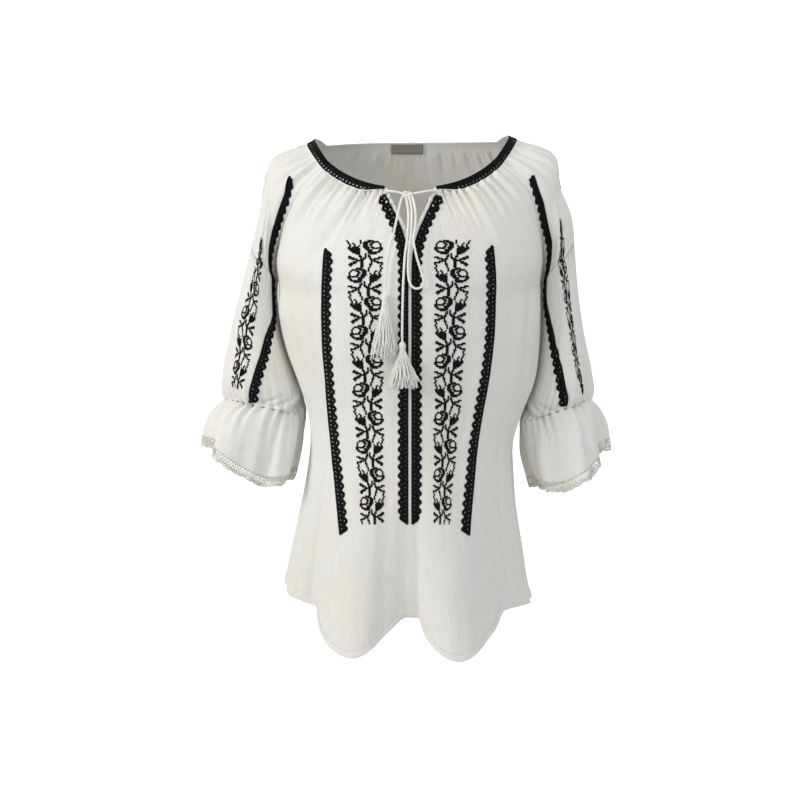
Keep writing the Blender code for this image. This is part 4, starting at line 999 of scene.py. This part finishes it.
def tube_piece(name, cloth, side, turns, rows, sewn_from, node):
    """A sleeve or ruffle: a tube of cloth whose two edges meet from the row sewn_from on."""
    grid = cloth(side, turns, rows)[0]
    sewn = rows[:, 0] >= sewn_from
    seam_line = (grid[sewn, 0] + grid[sewn, -1]) / 2
    grid[sewn, 0] = seam_line
    grid[sewn, -1] = seam_line
    uv = cloth_uv(turns, rows, SLEEVE_WIDTH)
    piece = grid_piece(name, [grid], [uv], cotton, CLOTH, (side < 0,))
    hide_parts(node)
    return piece


v_grid, turn_grid = np.meshgrid(stepped([0, 1, 4, 10, ELASTIC_ROW], [5, 30, 62, 44]),
                                np.linspace(1, -1, 137), indexing="ij")
sleeves = {side: tube_piece("sleeve_cloth_" + word, sleeve_cloth, side, turn_grid, v_grid, ARMPIT,
                            "sleeve_" + word) for side, word in HANDS}

# Ruffle cuffs: a flared ruffle of the same gauze below each elastic, in soft flutes.
Hoop = namedtuple("Hoop", "name outer inner depth dip skew flute")
RUFFLES = {
    -1: [
        Hoop("elastic", (-236.2, 0, -336.6), (-138.8, 6, -358.6), 46, 0, 0.8, 0),
        Hoop("flare", (-254, 0, -350), (-138, 4, -372), 51, 4, 0.8, 1.5),
        Hoop("full", (-263, 0, -367), (-140, 2, -393), 57, 11, 0.8, 4),
        Hoop("hem", (-266, 0, -383), (-148, 0, -424), 61, 20, 0.8, 6),
        Hoop("lace edge", (-267, 0, -397), (-154, 0, -438), 65, 18, 0.8, 7),
    ],
    1: [
        Hoop("elastic", (231.2, 0, -337.6), (145.3, 6, -367.6), 45, 0, 0, 0),
        Hoop("flare", (244, 0, -352), (145, 4, -384), 50, 4, 0, 1.5),
        Hoop("full", (250, 0, -369), (148, 2, -408), 55, 13, 0, 4),
        Hoop("hem", (251, 0, -388), (158, 0, -436), 59, 24, 0, 6),
        Hoop("lace edge", (252, 0, -403), (164, 0, -450), 63, 22, 0, 7),
    ],
}
RUFFLE_FLUTES = 5
RUFFLE_HEM = 3.0
RUFFLE_ROW_LENGTH = 17.0


def ruffle_form(side, turn, v):
    """Form of a ruffle: ovals whose lower edges dip in front and behind, fluted by a cosine."""
    hoops = RUFFLES[side]
    outer = blend([hoop.outer for hoop in hoops], v)
    inner = blend([hoop.inner for hoop in hoops], v)
    depth, dip, skew, flute = np.moveaxis(blend([hoop[3:7] for hoop in hoops], v), -1, 0)
    angle = np.pi * turn
    wave = flute * np.cos(RUFFLE_FLUTES * angle + 0.6)
    point = inner + (outer - inner) * ((1 + np.cos(angle)) / 2)[..., None]
    hang = dip * np.sin(angle) ** 2 * (1 - skew * np.cos(angle))
    return point + np.stack([side * wave * np.cos(angle), -(depth + wave) * np.sin(angle), -hang], axis=-1)


def ruffle_folds(side, turn, v):
    """Height of a ruffle's folds: the elastic's pleats melt into a few uneven flutes."""
    grown = np.clip(v / 3, 0, 1.2) ** 1.2
    flutes = 2.6 * np.sin(9 * np.pi * turn + side) + 2.0 * np.sin(14 * np.pi * turn + 2) * (1 - 0.4 * grown)
    relief = elastic_pleats(turn, v * RUFFLE_ROW_LENGTH, side) + flutes * grown
    return relief + 0.5 * crinkled(turn * 190, v * 18, 37 + side)


def ruffle_cloth(side, turn, v, lift=0.0):
    """Point and normal of a folded ruffle."""
    return lifted(lambda a, b: ruffle_form(side, a, b), lambda a, b: ruffle_folds(side, a, b),
                  turn, v, -side, lift)


v_grid, turn_grid = np.meshgrid(np.linspace(0, RUFFLE_HEM, 50), np.linspace(1, -1, 181), indexing="ij")
ruffles = {side: tube_piece("ruffle_cloth_" + word, ruffle_cloth, side, turn_grid, v_grid, 0,
                            "ruffle_" + word) for side, word in HANDS}

# Cuff lace: white cotton lace on each ruffle's edge, diamonds between two bands above a row
# of scallops with an eyelet in each.
CUFF_SCALLOPS = 28
# Painted shade: the yarn is darker than its real off-white, standing in for the shadow seen through the
# lace's holes.
painted_shade_cuff_yarn = yarn("cuff lace cotton with painted shade", (0.66, 0.65, 0.58), (0.84, 0.83, 0.77), 0.85, 0.2, 0.1, 900.0)


def cuff_lace_piece(side, word):
    """Threads on the ruffle's form below its hem: k counts scallops, w is the share of depth."""
    def laid(k, w, half_width, closed=False, lift=0.0):
        """Threads at scallop k and depth w, moved out by lift."""
        turn = 1 - 2 * k / CUFF_SCALLOPS
        points, normals = ruffle_cloth(side, turn + 0 * w, RUFFLE_HEM + w + 0 * turn, lift)
        return threads(points, normals, half_width * 1.35, 0.45, 4, closed)

    step = np.arange(CUFF_SCALLOPS * 6)[None] / 6.0
    share = np.linspace(0, 1, 4)[None]
    cell = np.arange(CUFF_SCALLOPS * 4)[:, None] / 4.0
    around = np.linspace(0, 2 * np.pi, 8, endpoint=False)[None]
    whole = np.arange(CUFF_SCALLOPS)[:, None]
    points, quads = joined([
        laid(step, 0.0 + 0 * step, 1.0, closed=True),
        laid(step, 0.60 + 0 * step, 0.7, closed=True),
        laid(step, 0.76 + 0.24 * np.sin(np.pi * step) ** 2, 0.95, closed=True),
        laid(cell + 0.5 * share, 0.04 + 0.56 * share, 0.6, lift=0.15),
        laid(cell + 0.5 * share, 0.60 - 0.56 * share, 0.6, lift=-0.15),
        laid(whole + 0.5 + 0.055 * np.cos(around), 0.32 + 0.055 * np.sin(around), 0.6, closed=True),
        laid(whole + 0.5 + 0.15 * np.cos(around), 0.80 + 0.12 * np.sin(around), 0.6, closed=True),
        laid(whole + 0.28 - 0.1 * share, 0.62 + 0.28 * share, 0.42),
        laid(whole + 0.72 + 0.1 * share, 0.62 + 0.28 * share, 0.42),
        laid(whole + 0 * share, 0.62 + 0.24 * share, 0.55),
    ])
    piece = add_piece("white_lace_" + word, points, quads, painted_shade_cuff_yarn)
    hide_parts("cuff_lace_" + word)
    return piece


cuff_laces = {side: cuff_lace_piece(side, word) for side, word in HANDS}

# Slit binding: the slit's two edges are bound with a narrow folded strip of the gauze.
BINDING_END = 2.78
lace_yarn = yarn("white cotton lace", (0.84, 0.83, 0.78), (0.90, 0.895, 0.86), 0.85, 0.3, 0.15, 2200.0)
for side, word in HANDS:
    rows = np.linspace(0.0, BINDING_END, 60)[None]
    edge, out = front_cloth(side, front_share(side, 0 * rows, rows), rows)
    inner = front_form(side, front_share(side, 0 * rows + 0.02, rows), rows)
    centre = edge - unit(inner - edge) * (SEAM_GAP + BINDING / 2 - 0.3)
    points, quads = threads(centre, out, BINDING / 2 + 0.3, 0.95, 10)
    add_piece("slit_edge_" + word, points, quads, lace_yarn)
    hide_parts("slit_binding_" + word)

# Black lace strips: crocheted black cotton, sewn flat on the front and on each sleeve. A solid
# edge, a row of slanted slits, a band, and scallops with one pinhole each.
BLACK = (0.003, 0.003, 0.004)
WORN_BLACK = (0.008, 0.008, 0.010)
black_yarn = yarn("black crochet cotton", BLACK, WORN_BLACK, 0.85, 0.08, 0.02, 1900.0)
LACE_PITCH = 10.8
LACE_LIFT = 1.0


def black_lace(place, length, end_slant, start_slant=0.0):
    """Threads of a crocheted edging, laid by place(l, w, lift) from its straight edge.

    l is the length along the edge and w the distance from it. At a slanted end, w is held
    below the slant times the length that is left.
    """
    count = int(round(length / LACE_PITCH))
    pitch = length / count

    def laid(l, w, half_width, half_height=0.5, sides=4, closed=False):
        """Threads at length l and distance w, cut off by the slanted ends."""
        l, w = np.broadcast_arrays(l, w)
        room = (length - l) * end_slant + 1.0
        if start_slant:
            room = np.minimum(room, l * start_slant + 1.0)
        points, normals = place(l, np.minimum(w, room), LACE_LIFT)
        return threads(points, normals, half_width, half_height, sides, closed)

    fine = np.linspace(0, length, count * 12 + 1)[None]
    beat = np.cos(2 * np.pi * fine / pitch * 6)[..., None]
    tips = np.sin(np.pi * fine / pitch) ** 2
    whole = np.arange(count)[:, None] * pitch
    half = np.arange(count * 2)[:, None] * pitch / 2
    share = np.linspace(0, 1, 4)[None]
    around = np.linspace(0, 2 * np.pi, 12, endpoint=False)[None]
    return joined([
        laid(fine, 1.45 + 0 * fine, 1.5 + 0.15 * beat, 0.6, 6),
        laid(fine, 5.9 + 0 * fine, 1.35 + 0.12 * beat, 0.6),
        laid(fine, 8.5 + 3.2 * tips, 1.4 + 0.12 * beat, 0.6, 6),
        laid(half + 0.3 + 1.6 * share, 2.0 + 3.6 * share, 2.2),
        laid(whole + 0 * share, 6.4 + 2.4 * share, 2.2),
        laid(whole + pitch / 2 + 2.4 * np.cos(around), 8.6 + 2.2 * np.sin(around), 1.7, 0.55, closed=True),
        laid(whole + 1.9 + 0.6 * share, 6.6 + 3.2 * share, 1.4),
        laid(whole + pitch - 1.9 - 0.6 * share, 6.6 + 3.2 * share, 1.4),
    ])


def on_front(side, x, z):
    """Share and row where the front's form has the given x and z, by halving the rows."""
    low = np.zeros(np.shape(x))
    high = np.full(np.shape(x), LAST_ROW)
    arcs = [m.arc for m in FRONT_MIDDLE]
    for _ in range(26):
        row = (low + high) / 2
        angle = np.radians(blend(arcs, row))
        seam = np.abs(seam_point(FRONT_RAGLAN, side, row)[..., 0])
        share = np.arcsin(np.clip(np.abs(x) * np.sin(angle) / seam, 0, 1)) / angle
        higher = front_form(side, share, row)[..., 2] > z
        low = np.where(higher, row, low)
        high = np.where(higher, high, row)
    return share, row


Strip = namedtuple("Strip", "node side scallop_side path end_slant start_slant")
FRONT_STRIPS = [
    Strip("trim_front_left", -1, 1, [(-107, -152), (-110, -240), (-104, -350), (-88, -504)], 1.6, 1.2),
    Strip("trim_front_right", 1, -1, [(102, -149), (105, -201), (101, -280), (84, -388), (73, -504)],
          1.6, 1.2),
    Strip("trim_centre_left", -1, -1,
          [(-30.2, -85), (-16.8, -114), (-10.2, -130), (-5.8, -146), (-3.5, -162), (-2.8, -180), (-2.8, -205),
           (-2.8, -250), (-2.8, -340), (-2.8, -490)], 1.2, 0.0),
    Strip("trim_centre_right", 1, 1,
          [(30.2, -85), (16.8, -114), (10.0, -130), (5.0, -146), (2.0, -162), (1.0, -180), (0.9, -205),
           (0.9, -250), (0.9, -340), (0.9, -490)], 1.2, 0.0),
]
for strip in FRONT_STRIPS:
    line = spread(strip.path, 1.0)
    run = run_along(line)
    along = unit(np.gradient(line, axis=0))
    aside = np.stack([-along[:, 1], along[:, 0]], axis=1) * strip.scallop_side

    def on_strip(l, w, lift):
        """Point on the front beside the strip's line, w off it at length l."""
        x = np.interp(l, run, line[:, 0]) + np.interp(l, run, aside[:, 0]) * w
        z = np.interp(l, run, line[:, 1]) + np.interp(l, run, aside[:, 1]) * w
        return front_cloth(strip.side, *on_front(strip.side, x, z), lift)

    points, quads = black_lace(on_strip, run[-1], strip.end_slant, strip.start_slant)
    lace = add_piece(strip.node + "_lace", points, quads, black_yarn)
    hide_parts(strip.node)

SLEEVE_ROW_LENGTH = 30.0
# The strip's straight edge in each sleeve's (row, degrees from the outer point).
SLEEVE_TRIMS = {
    -1: [(2.2, 57), (2.8, 73.5), (3.4, 83), (4.2, 95), (5.2, 114), (6.2, 136), (7.2, 139), (8.1, 109.5),
         (8.9, 93), (9.6, 82.5), (10.5, 75), (11.6, 70)],
    1: [(2.1, 62), (2.7, 75), (3.3, 84), (3.8, 92), (4.4, 102), (5.1, 116), (5.9, 136), (6.8, 141),
        (7.4, 130), (7.9, 119), (8.5, 108), (9.1, 97), (9.9, 86.5), (11.1, 77), (11.6, 74.5)],
}
LAST_TURN = 0.985
TURN_PROBE = 0.01


def sleeve_turn(side, angle, v):
    """Turn at an angle in degrees from the sleeve's outer point."""
    return angle / np.clip(blend([ring.arc for ring in SLEEVES[side]], v), 1, 180)


def moved_round(side, turn, v, distance):
    """Turn reached from a turn by going the distance in mm round the sleeve to the front."""
    moved = turn + 0 * distance
    for _ in range(3):
        middle = (turn + moved) / 2
        reach = sleeve_form(side, middle + TURN_PROBE, v) - sleeve_form(side, middle - TURN_PROBE, v)
        moved = turn + distance / np.maximum(np.linalg.norm(reach, axis=-1) / (2 * TURN_PROBE), 1)
    return moved


for side, word in HANDS:
    line = spread([(row * SLEEVE_ROW_LENGTH, angle) for row, angle in SLEEVE_TRIMS[side]], 1.0)
    rows = line[:, 0] / SLEEVE_ROW_LENGTH
    run = run_along(sleeve_form(side, sleeve_turn(side, line[:, 1], rows), rows))

    def on_strip(l, w, lift):
        """Point on the sleeve, w round it from the strip's line at length l."""
        v = np.interp(l, run, rows)
        turn = sleeve_turn(side, np.interp(l, run, line[:, 1]), v)
        return sleeve_cloth(side, np.minimum(moved_round(side, turn, v, w), LAST_TURN), v, lift)

    points, quads = black_lace(on_strip, run[-1], 6.0)
    add_piece("trim_sleeve_lace_" + word, points, quads, black_yarn)
    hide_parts("trim_sleeve_" + word)

# Neck trim: the same black crochet, nearly straight on both edges, sewn over the gathers. One
# row of slanted pinholes runs near its lower edge, above a thin white piping.
NECK_BACK_ROWS = (0.24, 1.06)
NECK_CELL = 5.4
leg = np.linspace(0, 1, 160)
neck_lines = []
for row in (0.0, 1.0):
    rows = 0 * leg + row
    neck_lines.append([
        front_form(-1, front_share(-1, leg, rows), rows), sleeve_form(-1, 1 - 2 * leg, rows),
        back_form(2 * leg - 1, rows), sleeve_form(1, 2 * leg - 1, rows),
        front_form(1, front_share(1, 1 - leg, rows), rows)])
front_edges = np.array(NECK_ROWS)
back_edges = np.array(NECK_BACK_ROWS)
edge_shares = np.concatenate([0 * leg, leg, 0 * leg + 1, 1 - leg, 0 * leg])
edge_shares = edge_shares * edge_shares * (3 - 2 * edge_shares)
edge_rows = front_edges + (back_edges - front_edges) * edge_shares[:, None]
edge_rows[:len(leg), 1] = trim_bottom_row(-1, front_share(-1, leg, 0 * leg))
edge_rows[-len(leg):, 1] = trim_bottom_row(1, front_share(1, leg[::-1], 0 * leg))
upper, lower = [np.concatenate(lines) for lines in neck_lines]


def smoothed(points, reach):
    """Running mean of an open line of points, with its ends kept."""
    padded = np.concatenate([points[:1].repeat(reach, 0), points, points[-1:].repeat(reach, 0)])
    total = np.cumsum(np.concatenate([0 * points[:1], padded]), axis=0)
    mean = (total[2 * reach + 1:] - total[:-2 * reach - 1]) / (2 * reach + 1)
    ease = np.clip(np.minimum(np.arange(len(points)), np.arange(len(points))[::-1]) / reach, 0, 1)[:, None]
    return points * (1 - ease) + mean * ease


neck_top = smoothed(upper + (lower - upper) * edge_rows[:, :1], 8)
neck_bottom = smoothed(upper + (lower - upper) * edge_rows[:, 1:], 8)
neck_run = run_along((neck_top + neck_bottom) / 2) + np.arange(len(neck_top)) * 1e-6
neck_normal = unit(np.cross(np.gradient(neck_top, axis=0), neck_bottom - neck_top))
outwards = np.sign(np.sum(neck_normal * (neck_top * np.array([1, 1, 0])), axis=1, keepdims=True))
neck_normal = unit(smoothed(neck_normal * outwards, 20))


def on_neck(l, w, lift):
    """Point and normal of the neck trim at length l and share w from its upper edge."""
    l, w = np.broadcast_arrays(l, w)
    top, bottom, normal = [np.stack([np.interp(l, neck_run, line[:, axis]) for axis in range(3)], axis=-1)
                           for line in (neck_top, neck_bottom, neck_normal)]
    normal = unit(normal)
    return top + (bottom - top) * w[..., None] + normal * lift, normal


def neck_threads(l, w, half_width, half_height=0.6, sides=4, lift=1.5):
    """Threads laid on the neck trim at lengths l and shares w."""
    points, normals = on_neck(l, w, lift)
    return threads(points, normals, half_width, half_height, sides)


neck_length = neck_run[-1]
neck_count = int(round(neck_length / NECK_CELL))
fine = np.linspace(0, neck_length, neck_count * 4 + 1)[None]
beat = np.cos(np.pi * np.arange(fine.size))[None, :, None]
cell = np.arange(neck_count)[:, None] * neck_length / neck_count
share = np.linspace(0, 1, 4)[None]
points, quads = joined([
    neck_threads(fine, 0.06 + 0 * fine, 1.5 + 0.15 * beat, 0.65, 6),
    neck_threads(fine, 0.26 + 0 * fine, 1.45, 0.5),
    neck_threads(fine, 0.46 + 0 * fine, 1.5 + 0.1 * beat, 0.6, 6),
    neck_threads(cell + 0.3 + 1.6 * share, 0.5 + 0.36 * share, 1.75, 0.5),
    neck_threads(fine, 0.9 + 0 * fine, 1.25 + 0.12 * beat, 0.6, 6),
])
neck_lace = add_piece("neck_lace", points, quads, black_yarn)
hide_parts("neck_trim")
points, quads = neck_threads(fine, 1.04 + 0 * fine, 0.75, 0.75, 8, lift=0.9)
neck_piping = add_piece("neck_piping", points, quads, lace_yarn)

# Label: a small blank woven ribbon sewn inside the back neck along its two ends.
LABEL_X = (-25, 18)
LABEL_ROWS = (0.22, 1.1)
LABEL_INWARDS = 1.9
LABEL_ROW_LENGTH = 11
RIBBON = 0.6
label_x, label_v = np.meshgrid(np.linspace(*LABEL_X, 44), np.linspace(*LABEL_ROWS, 14))
label_seam = np.where(label_x < 0, *[np.abs(seam_point(BACK_RAGLAN, side, label_v)[..., 0])
                                     for side in (-1, 1)])
label_angle = np.radians(blend([m.arc for m in BACK_MIDDLE], label_v))
label_u = np.arcsin(label_x * np.sin(label_angle) / label_seam) / label_angle
label_grid = lifted(back_form, lambda a, b: 0 * a, label_u, label_v, -1, -LABEL_INWARDS)[0]
ribbon, nodes, links, shader = new_look("woven taupe ribbon", {"Roughness": 0.6, "Sheen Weight": 0.3})
ribs = added(nodes, "ShaderNodeTexWave", {"Scale": 420.0, "Distortion": 1.0})
ribs.bands_direction = "Y"
links.new(nodes.new("ShaderNodeTexCoord").outputs["UV"], ribs.inputs["Vector"])
links.new(two_shades(nodes, links, ribs.outputs["Fac"], (0.22, 0.205, 0.165), (0.33, 0.31, 0.255)),
          shader.inputs["Base Color"])
rib_bump = bumped(nodes, links, ribs.outputs["Fac"], 0.5, 0.0002)
links.new(rib_bump.outputs["Normal"], shader.inputs["Normal"])
label_uv = np.stack([label_x, label_v * LABEL_ROW_LENGTH], axis=-1) * MM
label = grid_piece("label_ribbon", [label_grid], [label_uv], ribbon, RIBBON, (True,))
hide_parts("neck_label")

# Cross stitch: rose and bud sprays worked in black cotton on the cloth, from a listed chart. Each
# next spray is the mirror image of the one above. Every mark is two crossed stitches.
CHART = [
    "#........#....####......",
    ".#.......#..####.####...",
    ".#..#....#.###..##...#..",
    "..#..#.....###.##.....#.",
    "..#..#..#..###..#.....#.",
    ".##.####...####.##....#.",
    ".########...###..#######",
    "..#######....####.....##",
    "...######.....###....##.",
    "....#####.....########..",
    "......###...#..#####....",
    "........#...#.#.........",
    ".##.....##..#.##........",
    ".####....#.##..#.....###",
    "...####..###...##.####..",
    "......#####.....###.....",
    "....###..##.....#.###...",
    "..####...##.....#...####",
    ".###.....##....##......#",
    "..#......##....#......#.",
    ".........##....#......#.",
]
CHART_COLUMNS = len(CHART[0])
CHART_ROWS = len(CHART)
BARS = ((1, 0.65), (-1, 0.9))
STITCH_BLACK = (0.004, 0.004, 0.005)
STITCH_LIGHT = (0.010, 0.010, 0.012)
stitch_yarn = yarn("black stitch cotton", STITCH_BLACK, STITCH_LIGHT, 0.8, 0.08, 0.02, 2400.0)


def stitch_places(sprays, first_flipped):
    """Row number and place across, from -0.5 to 0.5, of every stitch in a band of sprays."""
    marks = np.array([[mark == "#" for mark in row] for row in CHART])
    row, column = np.nonzero(marks)
    across = (column + 0.5) / CHART_COLUMNS - 0.5
    rows = np.concatenate([row + spray * CHART_ROWS for spray in range(sprays)])
    turned = np.concatenate([across * (-1 if (spray + first_flipped) % 2 else 1) for spray in range(sprays)])
    return rows.astype(float), turned


def cross_stitches(place, down, across, half_down, half_across):
    """Two bars (lean, lift) across each stitch's cell, the second lying over the first.

    A bar is thinner where its column is narrow, so that the cloth still shows between marks.
    """
    thread = np.clip(half_across, 0.18, 0.72)[:, None, None] * 0.92
    ends = np.array([-1.0, 1.0])[None]
    parts = []
    for lean, lift in BARS:
        points, normals = place(down[:, None] + ends * half_down[:, None],
                                across[:, None] + lean * ends * half_across[:, None], lift)
        parts.append(threads(points, normals, thread, 0.3, 4))
    return joined(parts)


Band = namedtuple("Band", "name side top bottom middles widths flipped")
FRONT_BANDS = [
    Band("roses_front_left", -1, -142.5, -490, [(-142.5, -56.4), (-310, -52.5), (-490, -46.2)],
         [(-142.5, 45), (-310, 38), (-490, 29.5)], 0),
    Band("roses_front_right", 1, -142.5, -490, [(-142.5, 51), (-310, 46.5), (-490, 37.5)],
         [(-142.5, 45), (-310, 36), (-490, 21)], 1),
]
FRONT_SPRAYS = 10
for band in FRONT_BANDS:
    rows, across = stitch_places(FRONT_SPRAYS, band.flipped)
    depth = (band.top - band.bottom) / (FRONT_SPRAYS * CHART_ROWS)
    z = band.top - (rows + 0.5) * depth
    heights, middles = np.array(band.middles)[::-1].T
    widths = np.array(band.widths)[::-1, 1]
    middle = np.interp(z, heights, middles)
    width = np.interp(z, heights, widths)

    def on_band(z_place, x_place, lift):
        """Point on the front at a height and place across."""
        return front_cloth(band.side, *on_front(band.side, x_place, z_place), lift)

    points, quads = cross_stitches(on_band, z, middle + across * width, 0 * z + depth / 2,
                                   width / CHART_COLUMNS / 2)
    add_piece(band.name, points, quads, stitch_yarn)

# The sleeve bands sink into a long crease, so they narrow there. Each is (row, turn, width).
SleeveBand = namedtuple("SleeveBand", "name side sprays flipped stations")
SLEEVE_BANDS = [
    SleeveBand("roses_shoulder_left", -1, 3, 0,
               [(0.95, -0.55, 34), (2.2, -0.42, 34), (3.0, -0.24, 31), (3.6, -0.07, 24), (4.1, 0.03, 13)]),
    SleeveBand("roses_sleeve_left", -1, 6, 0,
               [(5.0, 0.535, 4), (5.3, 0.53, 7), (6.2, 0.475, 12), (7.2, 0.421, 18), (8.1, 0.373, 27),
                (9.7, 0.324, 25), (10.7, 0.30, 22)]),
    SleeveBand("roses_shoulder_right", 1, 3, 1,
               [(0.95, -0.55, 34), (2.2, -0.42, 34), (3.0, -0.22, 31), (3.6, -0.05, 24), (4.1, 0.05, 13)]),
    SleeveBand("roses_sleeve_right", 1, 7, 1,
               [(4.5, 0.54, 4), (4.9, 0.58, 6), (5.5, 0.545, 12), (6.8, 0.458, 12), (7.4, 0.421, 11),
                (8.1, 0.392, 10), (8.9, 0.375, 8), (9.8, 0.341, 7), (11.1, 0.28, 5)]),
]
sleeve_roses = {-1: [], 1: []}
for band in SLEEVE_BANDS:
    stations = np.array(band.stations, float)
    fine_rows = np.linspace(stations[0, 0], stations[-1, 0], 400)
    fine_turns = np.interp(fine_rows, stations[:, 0], stations[:, 1])
    run = run_along(sleeve_form(band.side, fine_turns, fine_rows))
    rows, across = stitch_places(band.sprays, band.flipped)
    depth = run[-1] / (band.sprays * CHART_ROWS)
    width = np.interp(np.interp((rows + 0.5) * depth, run, fine_rows), stations[:, 0], stations[:, 2])

    def on_band(l, w, lift):
        """Point on the sleeve, w round it from the band's middle at length l."""
        v = np.interp(l, run, fine_rows)
        turn = np.interp(l, run, fine_turns)
        return sleeve_cloth(band.side, moved_round(band.side, turn, v, w), v, lift)

    points, quads = cross_stitches(on_band, (rows + 0.5) * depth, across * width, 0 * rows + depth / 2,
                                   width / CHART_COLUMNS / 2)
    sleeve_roses[band.side].append(add_piece(band.name, points, quads, stitch_yarn))

# Sewing: white running stitches on the hem's turn-up.
STITCH = 2.4
STITCH_GAP = 0.9
STITCH_RISE = (0.1, 0.35, 0.1)
STITCH_THREAD = 0.26
hem_thread = []
for form, cloth, first, last in (
        (lambda s, v: front_form(-1, s, v), lambda s, v, lift: front_cloth(-1, s, v, lift), 0.02, 0.98),
        (lambda s, v: front_form(1, s, v), lambda s, v, lift: front_cloth(1, s, v, lift), 0.02, 0.98),
        (back_form, back_cloth, -0.98, 0.98)):
    s = np.linspace(first, last, 900)
    stitch_rows = hem_row(form, s)
    run = run_along(cloth(s, stitch_rows, 0.0)[0])
    starts = np.arange(0, run[-1] - STITCH, STITCH + STITCH_GAP)
    spans = starts[:, None] + np.array([0.0, 0.5, 1.0])[None] * STITCH
    points, normals = cloth(np.interp(spans, run, s), np.interp(spans, run, stitch_rows), 0.0)
    points = points + normals * np.array(STITCH_RISE)[None, :, None]
    hem_thread.append(threads(points, normals, STITCH_THREAD, STITCH_THREAD, 4))
points, quads = joined(hem_thread)
hem_stitches = add_piece("hem_stitches", points, quads, lace_yarn)

for side, word in HANDS:
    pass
